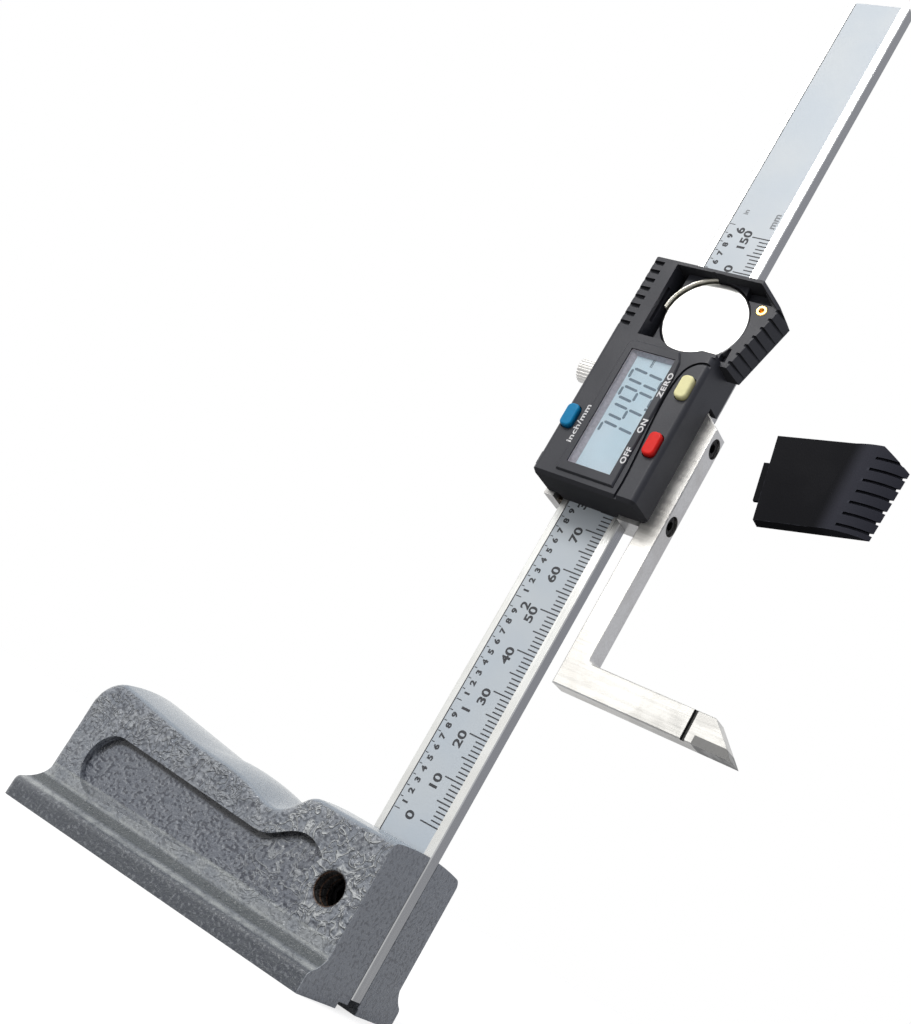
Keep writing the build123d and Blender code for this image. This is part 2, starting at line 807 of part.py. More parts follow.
# the sensor board reads the beam's pattern from 0.3 mm away, and the spacer holds it to the main board
with BuildPart() as sensor_board:
    with BuildSketch(front_plane(-0.3)):
        with Locations((beam_x, housing_bottom + 18.0)):
            Rectangle(11.0, 30.0)
    extrude(amount=0.8)
save(sensor_board, "sensor_board")

with BuildPart() as board_spacer:
    with BuildSketch(front_plane(-1.1)):
        with Locations((beam_x, housing_bottom + 10.0), (beam_x, housing_bottom + 26.0)):
            Rectangle(7.0, 3.0)
    extrude(amount=-1.1 - board_y - board_thickness)
save(board_spacer, "board_spacers")

# ---- buttons: one flanged cap each, over a dome of the button pad ----
button_places = {
    "blue_button": (beam_x - blue_x, blue_z),
    "red_button": (beam_x + strip_x, red_z),
    "yellow_button": (beam_x + strip_x, yellow_z),
}
flange_y = inner_front_y + fit_gap
stem_y = board_y - dome_height - button_travel - 0.05

for button_name, button_place in button_places.items():
    with BuildPart() as button:
        with BuildSketch(front_plane(flange_y)):
            with Locations(button_place):
                RectangleRounded(button_width, button_length, button_corner)
        extrude(amount=flange_y + housing_depth + button_proud)
        fillet(button.faces().sort_by(Axis.Y)[0].edges(), 0.5)
        with BuildSketch(front_plane(flange_y + flange_thickness)):
            with Locations(button_place):
                Rectangle(2.2, button_length + 2 * button_gap + 2 * flange_rim)
        extrude(amount=flange_thickness)
        with BuildSketch(front_plane(stem_y)):
            with Locations(button_place):
                Circle(stem_radius)
        extrude(amount=stem_y - flange_y)
    save(button, button_name)

with BuildPart() as button_domes:
    for dome_place in button_places.values():
        with BuildSketch(front_plane(board_y)):
            with Locations(dome_place):
                Circle(dome_radius)
        extrude(amount=dome_height, taper=20)
save(button_domes, "button_domes")

# ---- coin cell, its two contacts, and the brass bush at the bay's corner ----
with BuildPart() as coin_cell:
    with BuildSketch(front_plane(pocket_floor_y - contact_thickness - fit_gap)):
        with Locations(cell_place):
            Circle(cell_radius - 0.4)
    extrude(amount=0.5)
    with BuildSketch(front_plane(pocket_floor_y - contact_thickness - fit_gap - 0.5)):
        with Locations(cell_place):
            Circle(cell_radius)
    extrude(amount=cell_thickness - 0.5)
    fillet(coin_cell.faces().sort_by(Axis.Y)[0].edges(), 0.4)
save(coin_cell, "coin_cell")

with BuildPart() as negative_contact:
    with BuildSketch(front_plane(pocket_floor_y)):
        with Locations(cell_place):
            Circle(3.0)
            Rectangle(16.0, 2.4)
    extrude(amount=contact_thickness)
save(negative_contact, "negative_contact")

with BuildPart() as positive_contact:
    with BuildSketch(front_plane(pocket_floor_y)):
        with Locations(cell_place):
            Circle(contact_outer)
            Circle(contact_inner, mode=Mode.SUBTRACT)
        with Locations((cell_place[0] - 1.7, cell_place[1] + 0.6)):
            Rectangle(12.0, 12.0, align=(Align.MAX, Align.MIN), mode=Mode.INTERSECT)
    extrude(amount=pocket_floor_y - tray_y + contact_proud)
save(positive_contact, "positive_contact")

with BuildPart() as brass_bush:
    with BuildSketch(front_plane(tray_y + 2.5)):
        with Locations((beam_x + 17.6, cell_z + 5.5)):
            Circle(1.3)
    extrude(amount=2.7)
    with BuildSketch(front_plane(tray_y - 0.2)):
        with Locations((beam_x + 17.6, cell_z + 5.5)):
            Circle(0.55)
    extrude(amount=-2.0, mode=Mode.SUBTRACT)
    chamfer(brass_bush.faces().sort_by(Axis.Y)[0].edges(), 0.15)
save(brass_bush, "brass_bush")

# ---- battery cover: a thin shell whose right side bends back to the grip, with ribs across the bend ----
cover_back_y = tray_y - fit_gap
cover_left_x = beam_x - bay_left + cover_gap
cover_edge_x = grip_inner + grip_reach
cover_bulge = (0.68 * cover_bend, 0.26 * (housing_depth + tray_y))


def cover_corners(height, shrink):
    """Points of the cover's cross-section seen from above: left, start of the bend, its middle, edge."""
    lean = (height - grip_shoulder) * grip_lean - shrink
    return [
        (cover_left_x + max(shrink - cover_rib_height, 0), -housing_depth + shrink),
        (cover_edge_x - cover_bend + lean, -housing_depth + shrink),
        (
            cover_edge_x - cover_bend + cover_bulge[0] + lean,
            -housing_depth + cover_bulge[1] + 0.7 * shrink,
        ),
        (cover_edge_x + lean, cover_back_y),
        (cover_left_x + max(shrink - cover_rib_height, 0), cover_back_y),
    ]


with BuildPart() as cover_inside:
    for level in (bay_bottom + cover_gap + cover_rim, housing_top - bay_wall - cover_gap - cover_rim):
        with BuildSketch(Plane.XY.offset(level)):
            with BuildLine():
                start, bend, middle, edge, back = cover_corners(level, cover_skin + cover_rib_height)
                Line(start, bend)
                ThreePointArc(bend, middle, edge)
                Line(edge, back)
                Line(back, start)
            make_face()
    loft(ruled=True)

with BuildPart() as battery_cover:
    for level in (bay_bottom, housing_top):
        with BuildSketch(Plane.XY.offset(level)):
            with BuildLine():
                start, bend, middle, edge, back = cover_corners(level, 0)
                Line(start, bend)
                ThreePointArc(bend, middle, edge)
                Line(edge, back)
                Line(back, start)
            make_face()
    loft(ruled=True)
    # grooves between the ribs, deepening over the bend
    for rib in range(rib_count):
        rib_z = bay_bottom + 1.2 + rib * rib_pitch
        with BuildSketch(Plane.XY.offset(rib_z)):
            with BuildLine():
                start, bend, middle, edge, back = cover_corners(rib_z, 0)
                bend_in = (bend[0] + 0.6, bend[1])
                middle_in = (middle[0] - 0.2, middle[1] + cover_rib_height)
                edge_in = (edge[0] - cover_rib_height, edge[1])
                ThreePointArc(bend_in, middle_in, edge_in)
                Line(edge_in, (edge[0] + 2.0, edge[1]))
                Line((edge[0] + 2.0, edge[1]), (edge[0] + 2.0, bend[1]))
                Line((edge[0] + 2.0, bend[1]), bend_in)
            make_face()
        extrude(amount=cover_groove, mode=Mode.SUBTRACT)
    with BuildSketch(front_plane(tray_y)):
        with BuildLine():
            Polyline(*bay_corners(cover_gap), close=True)
        make_face()
    extrude(amount=housing_depth, mode=Mode.INTERSECT)
    add(cover_inside.part, mode=Mode.SUBTRACT)
    with BuildSketch(Plane.YZ.offset(cover_left_x)):
        with Locations((tray_y - 1.1, cell_z + 0.4)):
            Rectangle(tab_thickness, tab_length)
    extrude(amount=-tab_reach)

cover_axis = Axis((cover_pivot_x, 0, cover_pivot_z), (0, 1, 0))
cover_away = battery_cover.part.rotate(cover_axis, -cover_turn)
cover_away = Pos(0, -cover_lift, 0) * cover_away
cover_away.label = "battery_cover"
export_step(cover_away, "parts/battery_cover.step")

# ---- scriber arm, its carbide edge and its screws ----
tip_x = arm_left + arm_reach
nose_x = tip_x - nose_length
limb_top = scribe_height + limb_height
carbide_start = tip_x - carbide_length
slope_at_carbide = tip_x - nose_length * carbide_height / limb_height

with BuildPart() as scriber_arm:
    with BuildSketch(front_plane(-arm_front)):
        with BuildLine():
            Polyline(
                (arm_left, scribe_height),
                (arm_left, arm_top),
                (arm_right, arm_top - arm_top_drop),
                (arm_right, limb_top),
                (nose_x, limb_top),
                (slope_at_carbide, scribe_height + carbide_height),
                (carbide_start, scribe_height + carbide_height),
                (carbide_start, scribe_height),
                close=True,
            )
        make_face()
    extrude(amount=-arm_thickness)
    inner_corner = scriber_arm.edges().filter_by(Axis.Y)
    inner_corner = inner_corner.filter_by(
        lambda e: abs(e.center().X - arm_right) < 0.1 and abs(e.center().Z - limb_top) < 0.1
    )
    fillet(inner_corner, 1.2)
    front_edges = scriber_arm.faces().sort_by(Axis.Y)[0].edges()
    chamfer(front_edges.filter_by(lambda e: e.center().X < carbide_start - 0.5), 0.25)
    # sockets for the screws, from the outer side
    with BuildSketch(Plane.YZ.offset(arm_right)):
        with Locations((arm_screw_y, arm_screw_low), (arm_screw_y, arm_screw_high)):
            Circle(arm_screw_radius + fit_gap)
    extrude(amount=-arm_width, mode=Mode.SUBTRACT)
    with BuildSketch(Plane.YZ.offset(arm_right)):
        with Locations((arm_screw_y, arm_screw_low), (arm_screw_y, arm_screw_high)):
            Circle(arm_head_radius + fit_gap)
    extrude(amount=-arm_counterbore, mode=Mode.SUBTRACT)
    # the line cut across the front of the horizontal limb
    with BuildSketch(front_plane(-arm_front)):
        with Locations((tip_x - groove_from_tip, scribe_height)):
            Rectangle(groove_width, 2 * limb_height + 2.0)
    extrude(amount=-groove_depth, mode=Mode.SUBTRACT)
save(scriber_arm, "scriber_arm")

with BuildPart() as carbide_edge:
    with BuildSketch(front_plane(-arm_front)):
        with BuildLine():
            Polyline(
                (carbide_start, scribe_height),
                (carbide_start, scribe_height + carbide_height),
                (slope_at_carbide, scribe_height + carbide_height),
                (tip_x, scribe_height),
                close=True,
            )
        make_face()
    extrude(amount=-arm_thickness)
save(carbide_edge, "carbide_edge")

with BuildPart() as arm_screws:
    head_x = arm_right - arm_counterbore
    with BuildSketch(Plane.YZ.offset(head_x)):
        with Locations((arm_screw_y, arm_screw_low), (arm_screw_y, arm_screw_high)):
            Circle(arm_head_radius)
    extrude(amount=arm_head_length)
    chamfer(arm_screws.edges().filter_by(GeomType.CIRCLE).group_by(Axis.X)[-1], 0.3)
    with BuildSketch(Plane.YZ.offset(head_x + arm_head_length)):
        with Locations((arm_screw_y, arm_screw_low), (arm_screw_y, arm_screw_high)):
            RegularPolygon(1.0, 6, major_radius=False)
    extrude(amount=-1.3, mode=Mode.SUBTRACT)
    with BuildSketch(Plane.YZ.offset(head_x)):
        with Locations((arm_screw_y, arm_screw_low), (arm_screw_y, arm_screw_high)):
            Circle(arm_screw_radius)
    extrude(amount=-(arm_width - arm_counterbore + wall_right - 0.6))
save(arm_screws, "arm_screws")
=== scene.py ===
import math

import bmesh
import bpy
from mathutils import Matrix, Quaternion, Vector


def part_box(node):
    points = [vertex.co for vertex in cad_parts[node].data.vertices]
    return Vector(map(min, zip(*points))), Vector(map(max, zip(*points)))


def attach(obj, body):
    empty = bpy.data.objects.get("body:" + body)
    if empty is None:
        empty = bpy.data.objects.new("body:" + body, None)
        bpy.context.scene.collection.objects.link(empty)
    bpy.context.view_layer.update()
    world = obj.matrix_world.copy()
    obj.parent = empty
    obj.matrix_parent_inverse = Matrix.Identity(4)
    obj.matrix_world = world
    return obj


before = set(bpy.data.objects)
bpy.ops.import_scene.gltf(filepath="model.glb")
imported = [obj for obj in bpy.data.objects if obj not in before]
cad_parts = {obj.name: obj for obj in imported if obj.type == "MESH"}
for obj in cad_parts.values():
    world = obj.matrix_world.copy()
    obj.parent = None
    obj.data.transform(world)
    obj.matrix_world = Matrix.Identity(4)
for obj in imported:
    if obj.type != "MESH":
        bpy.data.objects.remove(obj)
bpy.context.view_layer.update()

# A digital height gauge on a white table. Sizes are in metres, in the gauge's own frame:
# +Z up the beam, +X out of the base's front end, -Y towards the reader.
mm = 0.001

beam_x = 38.5 * mm
scale_zero = 38.5 * mm
beam_top = 260.0 * mm
inch = 25.4 * mm


# ---------------------------------------------------------------------------------------------
# Shader helpers
# ---------------------------------------------------------------------------------------------

def fill(tree, socket, value):
    """Wires another node's socket into an input, or sets its plain value."""
    if isinstance(value, bpy.types.NodeSocket):
        tree.links.new(value, socket)
    else:
        socket.default_value = value


def add(tree, kind, values=None, **settings):
    """Adds a node, sets its properties, and fills or wires its inputs."""
    made = tree.nodes.new(kind)
    for name, value in settings.items():
        setattr(made, name, value)
    for name, value in (values or {}).items():
        fill(tree, made.inputs[name], value)
    return made


def new_group(name, inputs, outputs):
    """A node group with named inputs (name, kind, default) and outputs (name, kind)."""
    group = bpy.data.node_groups.new(name, "ShaderNodeTree")
    for label, kind, default in inputs:
        socket = group.interface.new_socket(label, in_out="INPUT", socket_type=kind)
        socket.default_value = default
    for label, kind in outputs:
        group.interface.new_socket(label, in_out="OUTPUT", socket_type=kind)
    return group, group.nodes.new("NodeGroupInput"), group.nodes.new("NodeGroupOutput")


def use(tree, group, **values):
    """Places a node group in a tree. Underscores in the names stand for spaces."""
    made = tree.nodes.new("ShaderNodeGroup")
    made.node_tree = group
    for name, value in values.items():
        fill(tree, made.inputs[name.replace("_", " ")], value)
    return made


def feed(tree, shader, **values):
    """Wires changing values into a node's inputs. Underscores in the names stand for spaces."""
    for name, value in values.items():
        tree.links.new(value, shader.inputs[name.replace("_", " ")])


def blend_colour(tree, factor, first, second):
    """Mixes two colours, each a socket or three numbers."""
    mix = tree.nodes.new("ShaderNodeMix")
    mix.data_type = "RGBA"
    for socket, value in ((mix.inputs[0], factor), (mix.inputs[6], first), (mix.inputs[7], second)):
        fill(tree, socket, (*value, 1.0) if isinstance(value, tuple) else value)
    return mix.outputs[2]


def maths(tree, operation, first, second=None, clamp=False):
    """One Math node on sockets or plain numbers."""
    node = add(tree, "ShaderNodeMath", operation=operation, use_clamp=clamp)
    for socket, value in zip(node.inputs, (first, second)):
        if value is not None:
            fill(tree, socket, value)
    return node.outputs[0]


def times(tree, first, *others):
    """Multiplies masks and numbers together."""
    for other in others:
        first = maths(tree, "MULTIPLY", first, other)
    return first


def largest(tree, first, *others):
    """The largest of several masks."""
    for other in others:
        first = maths(tree, "MAXIMUM", first, other)
    return first


def away_from(tree, value, middle):
    """How far a value is from a middle, either way."""
    return maths(tree, "ABSOLUTE", maths(tree, "SUBTRACT", value, middle))


def distance(tree, across, along):
    """The straight distance that two offsets at right angles add up to."""
    both = add(tree, "ShaderNodeCombineXYZ", {"X": across, "Y": along})
    return add(tree, "ShaderNodeVectorMath", {0: both.outputs[0]}, operation="LENGTH").outputs["Value"]


def between(tree, value, low, high, out_low=0.0, out_high=1.0):
    """Runs smoothly from one number to another while a value goes from low to high."""
    node = add(tree, "ShaderNodeMapRange", {
        "Value": value, "From Min": low, "From Max": high, "To Min": out_low, "To Max": out_high},
        interpolation_type="SMOOTHSTEP")
    return node.outputs["Result"]


def fade(tree, mask, at_zero, at_one):
    """Turns a mask into a value that runs smoothly from one number to another."""
    return between(tree, mask, 0.0, 1.0, at_zero, at_one)


def inverse(tree, mask):
    """The mask of everything that a mask leaves out."""
    return fade(tree, mask, 1.0, 0.0)


def object_place(tree):
    """The Object coordinates, and their three axes apart."""
    place = add(tree, "ShaderNodeTexCoord").outputs["Object"]
    return place, add(tree, "ShaderNodeSeparateXYZ", {"Vector": place}).outputs


def facing_axes(tree):
    """The three axes of the way that the surface faces."""
    normal = add(tree, "ShaderNodeNewGeometry").outputs["Normal"]
    return add(tree, "ShaderNodeSeparateXYZ", {"Vector": normal}).outputs


def scaled(colour, amount):
    """A colour made darker or lighter, with no channel over 1."""
    return tuple(min(1.0, channel * amount) for channel in colour)


# ---------------------------------------------------------------------------------------------
# Shared effects
# ---------------------------------------------------------------------------------------------

FLOAT, VECTOR = "NodeSocketFloat", "NodeSocketVector"


def make_mottle():
    """Soft blotches of one size, as a mask."""
    group, given, out = new_group(
        "mottle",
        [("Scale", FLOAT, 500.0), ("Detail", FLOAT, 3.0), ("Low", FLOAT, 0.4), ("High", FLOAT, 0.6),
         ("Warp", FLOAT, 0.0), ("Shift", VECTOR, (0.0, 0.0, 0.0))],
        [("Mask", FLOAT)],
    )
    place = add(group, "ShaderNodeTexCoord").outputs["Object"]
    moved = add(group, "ShaderNodeMapping", {"Vector": place, "Location": given.outputs["Shift"]})
    noise = add(group, "ShaderNodeTexNoise", {
        "Vector": moved.outputs[0], "Scale": given.outputs["Scale"],
        "Detail": given.outputs["Detail"], "Distortion": given.outputs["Warp"]})
    mask = between(group, noise.outputs[0], given.outputs["Low"], given.outputs["High"])
    feed(group, out, Mask=mask)
    return group


def make_streaks():
    """Fine grinding lines, stretched by a different scale along each axis."""
    group, given, out = new_group(
        "grinding lines",
        [("Stretch", VECTOR, (1.0, 1.0, 1.0)), ("Low", FLOAT, 0.3), ("High", FLOAT, 0.7)],
        [("Mask", FLOAT)],
    )
    place = add(group, "ShaderNodeTexCoord").outputs["Object"]
    stretched = add(group, "ShaderNodeMapping", {"Vector": place, "Scale": given.outputs["Stretch"]})
    noise = add(group, "ShaderNodeTexNoise", {"Vector": stretched.outputs[0], "Scale": 1.0, "Detail": 4.0})
    ramp = add(group, "ShaderNodeMapRange", {
        "Value": noise.outputs[0], "From Min": given.outputs["Low"], "From Max": given.outputs["High"]})
    feed(group, out, Mask=ramp.outputs["Result"])
    return group


def make_edge_wear():
    """A broken mask along convex edges, where a finish is rubbed."""
    group, given, out = new_group(
        "edge wear",
        [("Width", FLOAT, 0.4 * mm), ("Amount", FLOAT, 1.0), ("Scale", FLOAT, 900.0)],
        [("Mask", FLOAT)],
    )
    rounded = add(group, "ShaderNodeBevel", {"Radius": given.outputs["Width"]}, samples=6)
    flat = add(group, "ShaderNodeNewGeometry")
    turned = add(group, "ShaderNodeVectorMath", {0: rounded.outputs[0], 1: flat.outputs["True Normal"]},
                 operation="DOT_PRODUCT")
    edge = between(group, turned.outputs["Value"], 0.97, 0.80)
    place = add(group, "ShaderNodeTexCoord").outputs["Object"]
    noise = add(group, "ShaderNodeTexNoise", {
        "Vector": place, "Scale": given.outputs["Scale"], "Detail": 3.0})
    broken = between(group, noise.outputs[0], 0.38, 0.62)
    mask = maths(group, "MULTIPLY", times(group, edge, broken), given.outputs["Amount"], clamp=True)
    feed(group, out, Mask=mask)
    return group


def make_enamel_skin():
    """Hammered enamel: pebbles with wormy ridges between them and a finer crinkle over both."""
    group, given, out = new_group(
        "hammered skin",
        [("Pebble Scale", FLOAT, 620.0), ("Worm Scale", FLOAT, 520.0), ("Fine Scale", FLOAT, 1900.0),
         ("Coarse", FLOAT, 1.0), ("Fine", FLOAT, 0.5)],
        [("Height", FLOAT), ("Ridges", FLOAT), ("Pits", FLOAT), ("Grains", FLOAT)],
    )
    place = add(group, "ShaderNodeTexCoord").outputs["Object"]
    sway_reach = (1.2 * mm, 1.2 * mm, 1.2 * mm)
    sway = add(group, "ShaderNodeTexNoise", {"Vector": place, "Scale": 700.0, "Detail": 1.0})
    push = add(group, "ShaderNodeVectorMath", {0: sway.outputs["Color"], 1: sway_reach}, operation="MULTIPLY")
    swayed = add(group, "ShaderNodeVectorMath", {0: place, 1: push.outputs[0]}, operation="ADD")
    pebble = add(group, "ShaderNodeTexVoronoi", {
        "Vector": swayed.outputs[0], "Scale": given.outputs["Pebble Scale"], "Randomness": 1.0},
        feature="SMOOTH_F1")
    dome = between(group, pebble.outputs["Distance"], 0.62, 0.10)
    worm = add(group, "ShaderNodeTexNoise", {
        "Vector": place, "Scale": given.outputs["Worm Scale"], "Detail": 2.0, "Distortion": 1.4})
    # a ridge runs wherever the worm noise crosses its middle value, and a pit lies where it is low
    ridges = between(group, away_from(group, worm.outputs[0], 0.5), 0.060, 0.0)
    pits = between(group, worm.outputs[0], 0.40, 0.31)
    fine = add(group, "ShaderNodeTexNoise", {
        "Vector": place, "Scale": given.outputs["Fine Scale"], "Detail": 3.0, "Distortion": 0.4})
    grains = between(group, fine.outputs[0], 0.36, 0.64)
    tall = times(group, maths(group, "ADD", dome, ridges), given.outputs["Coarse"])
    small = times(group, grains, given.outputs["Fine"])
    feed(group, out, Height=maths(group, "ADD", tall, small), Ridges=ridges, Pits=pits, Grains=grains)
    return group


mottle = make_mottle()
streaks = make_streaks()
edge_wear = make_edge_wear()
enamel_skin = make_enamel_skin()


# ---------------------------------------------------------------------------------------------
# Finishes
# ---------------------------------------------------------------------------------------------

def new_finish(name, **values):
    """A material with its Principled shader. Plain numbers go straight on the shader's sockets."""
    made = bpy.data.materials.new(name)
    made.use_nodes = True
    tree = made.node_tree
    shader = tree.nodes["Principled BSDF"]
    for label, value in values.items():
        socket = shader.inputs[label.replace("_", " ")]
        socket.default_value = (*value, 1.0) if isinstance(value, tuple) else value
    return made, tree, shader


def set_bump(tree, shader, height, depth, strength=1.0):
    """Raises the surface by a height mask, as if by that depth."""
    bump = add(tree, "ShaderNodeBump", {"Height": height, "Distance": depth, "Strength": strength})
    feed(tree, shader, Normal=bump.outputs[0])


def soft_blotches(tree, scale, detail=3.0, low=0.3, high=0.7, **values):
    """The mask of the shared blotches at one scale."""
    return use(tree, mottle, Scale=scale, Detail=detail, Low=low, High=high, **values).outputs[0]


# Spans over which the base's enamel changes, each from where a zone starts to where it is full
front_end = (46.25 * mm, 46.45 * mm)
pocket_sunk = (13.9 * mm, 13.2 * mm)
pocket_under = (24.5 * mm, 23.5 * mm)
pocket_over = (8.0 * mm, 9.0 * mm)
crown_slope = (0.45, 0.80)
crown_over = (16.0 * mm, 20.0 * mm)
boss_along = (8.0 * mm, 26.0 * mm)
boss_over = (8.0 * mm, 14.0 * mm)
top_band = (19.0 * mm, 27.0 * mm)
above_foot = (7.5 * mm, 11.5 * mm)
foot_shade = (6.5 * mm, 4.0 * mm)
rear_slope = (-0.30, -0.85)
rear_under = (14.0 * mm, 10.0 * mm)
inside_wall = (14.5 * mm, 14.2 * mm)
# where the painted shadow under the pocket's edge sinks, lifts, ends and rises
shadow_sinks = (-26.0 * mm, 16.0 * mm)
shadow_lifts = (16.0 * mm, 27.0 * mm)
shadow_ends = (31.0 * mm, 29.0 * mm)
shadow_rises = (0.0, 3.0 * mm)
hole_edge = (4.20 * mm, 4.05 * mm)
hole_x, hole_z = beam_x, 18.5 * mm

# Bands round the foot, each by its middle height, its half width, and the half width where it is full
hollow_band = (6.6 * mm, 1.35 * mm, 0.65 * mm)
cove_band = (9.25 * mm, 1.6 * mm, 1.2 * mm)
cove_top_line = (10.5 * mm, 0.5 * mm, 0.1 * mm)
cove_low_line = (8.0 * mm, 0.5 * mm, 0.1 * mm)
lip_line = (5.0 * mm, 0.6 * mm, 0.1 * mm)

enamel_dark, enamel_pale = (0.195, 0.215, 0.250), (0.250, 0.268, 0.298)
pocket_grey = (0.128, 0.140, 0.170)
front_grey = (0.300, 0.323, 0.360)
# painted shade for the foot's low side
painted_foot_shade = (0.068, 0.077, 0.092)
# painted shade for the low faces that turn to the rear end
painted_rear_shade = (0.070, 0.078, 0.098)
# painted highlight and painted shade for the two sides of the hammered pebbles
painted_pebble_highlight = (0.36, 0.38, 0.41)
painted_pebble_shade = (0.048, 0.054, 0.074)
# painted shade for the skin's pits and painted highlight for its ridges
painted_pit_shade = (0.055, 0.062, 0.080)
painted_ridge_highlight = (0.52, 0.54, 0.55)
# painted shadow under the pocket's upper edge
painted_edge_shadow = (0.013, 0.015, 0.022)
# painted shade for the cove and painted highlight for the lines round the foot
painted_cove_shade = (0.040, 0.050, 0.056)
painted_band_highlight = (0.38, 0.40, 0.40)
# painted sheen on the base's upper faces
painted_top_sheen = (0.195, 0.235, 0.285)
# painted shade for the hole's wall, and rust for its thread rings
painted_hole_shade, thread_rust = (0.006, 0.005, 0.005), (0.13, 0.060, 0.028)


def enamel_zones(tree, out_x, depth, up, facing_up):
    """Masks of the base's front, pocket, crown and boss, and how lively the skin is over them."""
    front = between(tree, out_x, *front_end)
    pocket_band = times(tree, between(tree, up, *pocket_under), between(tree, up, *pocket_over))
    pocket = times(tree, between(tree, depth, *pocket_sunk), pocket_band)
    crown = times(tree, between(tree, facing_up, *crown_slope), between(tree, up, *crown_over))
    boss = times(tree, between(tree, out_x, *boss_along), between(tree, up, *boss_over))
    lively = largest(tree, boss, between(tree, up, *top_band))
    calm = largest(tree, front, times(tree, pocket, 0.55), crown)
    amount = times(tree, fade(tree, lively, 0.38, 1.0), maths(tree, "SUBTRACT", 1.0, calm),
                   between(tree, up, *above_foot, 0.25, 1.0))
    return front, pocket, crown, boss, amount


def enamel_ground(tree, blotches, front, pocket, up, facing_out):
    """The enamel's greys: darker in the pocket and paler on the front, with painted shade low on the foot and
    low on the faces that turn to its rear end.
    """
    ground = blend_colour(tree, blotches, enamel_dark, enamel_pale)
    ground = blend_colour(tree, times(tree, pocket, 0.75), ground, pocket_grey)
    ground = blend_colour(tree, times(tree, front, 0.8), ground, front_grey)
    # painted shade: the foot's lower side is darkened, away from the front
    shade = times(tree, between(tree, up, *foot_shade), inverse(tree, front))
    ground = blend_colour(tree, shade, ground, painted_foot_shade)
    # painted shade: faces that turn to the rear end are darkened low down
    rear = times(tree, between(tree, facing_out, *rear_slope), between(tree, up, *rear_under))
    return blend_colour(tree, rear, ground, painted_rear_shade)


def add_specks(tree, colour, front, pocket, crown):
    """Painted shade and painted highlight on the hammered pebbles: a dark spot with a bright spot just beside
    it, thick in the pocket and on the sides, thin on the front.
    """
    pebble_shade = soft_blotches(tree, 1250.0, 0.5, 0.56, 0.61, Shift=(0.3, 0.1, 0.2))
    pebble_highlight = soft_blotches(tree, 1250.0, 0.5, 0.60, 0.66, Shift=(0.3006, 0.1, 0.2004))
    spread = times(tree, fade(tree, front, 1.0, 0.62), fade(tree, pocket, 0.62, 0.85), inverse(tree, crown))
    # painted highlight on each pebble's lit side
    colour = blend_colour(tree, times(tree, pebble_highlight, spread, 0.45), colour, painted_pebble_highlight)
    # painted shade on each pebble's dark side
    return blend_colour(tree, times(tree, pebble_shade, spread), colour, painted_pebble_shade)


def pocket_gutter(tree, out_x, depth, up):
    """A painted shadow on the pocket floor under the pocket's upper edge, which sinks towards the boss and
    lifts over it.
    """
    most_sunk, most_lifted = 1.8 * mm, 4.2 * mm
    round_x, round_z, round_radius = -26.4 * mm, 15.7 * mm, 6.45 * mm
    half_wide, full_half_wide = 1.10 * mm, 0.45 * mm
    sink = times(tree, between(tree, out_x, *shadow_sinks), most_sunk)
    lift = times(tree, between(tree, out_x, *shadow_lifts), -most_lifted)
    edge_height = maths(tree, "ADD", up, maths(tree, "ADD", sink, lift))
    rise = maths(tree, "MAXIMUM", maths(tree, "SUBTRACT", edge_height, round_z), -1.0 * mm)
    back = maths(tree, "MINIMUM", maths(tree, "SUBTRACT", out_x, round_x), 0.0)
    near_edge = away_from(tree, distance(tree, back, rise), round_radius)
    return times(tree, between(tree, near_edge, half_wide, full_half_wide),
                 between(tree, out_x, *shadow_ends), between(tree, depth, *inside_wall),
                 between(tree, rise, *shadow_rises))


def add_foot_bands(tree, colour, blotches, off_front, up):
    """A band of painted shade in the foot's cove, with painted highlight lines above it and along the lip
    below, and a fainter broad painted highlight over the cove.
    """
    def band(height, half_wide, full_half_wide):
        return between(tree, away_from(tree, up, height), half_wide, full_half_wide)

    # painted shade in the cove's hollow
    cove_shade = times(tree, band(*hollow_band), off_front)
    colour = blend_colour(tree, times(tree, cove_shade, 0.90), colour, painted_cove_shade)
    # the rubbed mask below holds painted highlights: pale lines on the cove's edges and the lip, and a broad
    # one over the cove
    lines = largest(tree, band(*cove_top_line), band(*cove_low_line), band(*lip_line))
    rubbed = largest(tree, lines, times(tree, band(*cove_band), 0.50))
    rubbed = times(tree, rubbed, off_front, fade(tree, blotches, 0.45, 0.90))
    return blend_colour(tree, times(tree, rubbed, 0.85), colour, painted_band_highlight)


def clamp_hole(tree, place, out_x, depth, up):
    """The clamp hole's mask, and the colour of its wall: painted near-black shade inside the hole, with rusty
    rings.
    """
    off_x = maths(tree, "SUBTRACT", out_x, hole_x)
    off_z = maths(tree, "SUBTRACT", up, hole_z)
    hole = times(tree, between(tree, distance(tree, off_x, off_z), *hole_edge),
                 between(tree, depth, *inside_wall))
    rings = add(tree, "ShaderNodeTexWave", {"Vector": place, "Scale": 125.0, "Distortion": 1.5},
                wave_type="BANDS", bands_direction="Y")
    # the hole's wall is painted near black as shade, with rusty thread rings
    return hole, blend_colour(tree, between(tree, rings.outputs[1], 0.55, 0.95), painted_hole_shade, thread_rust)


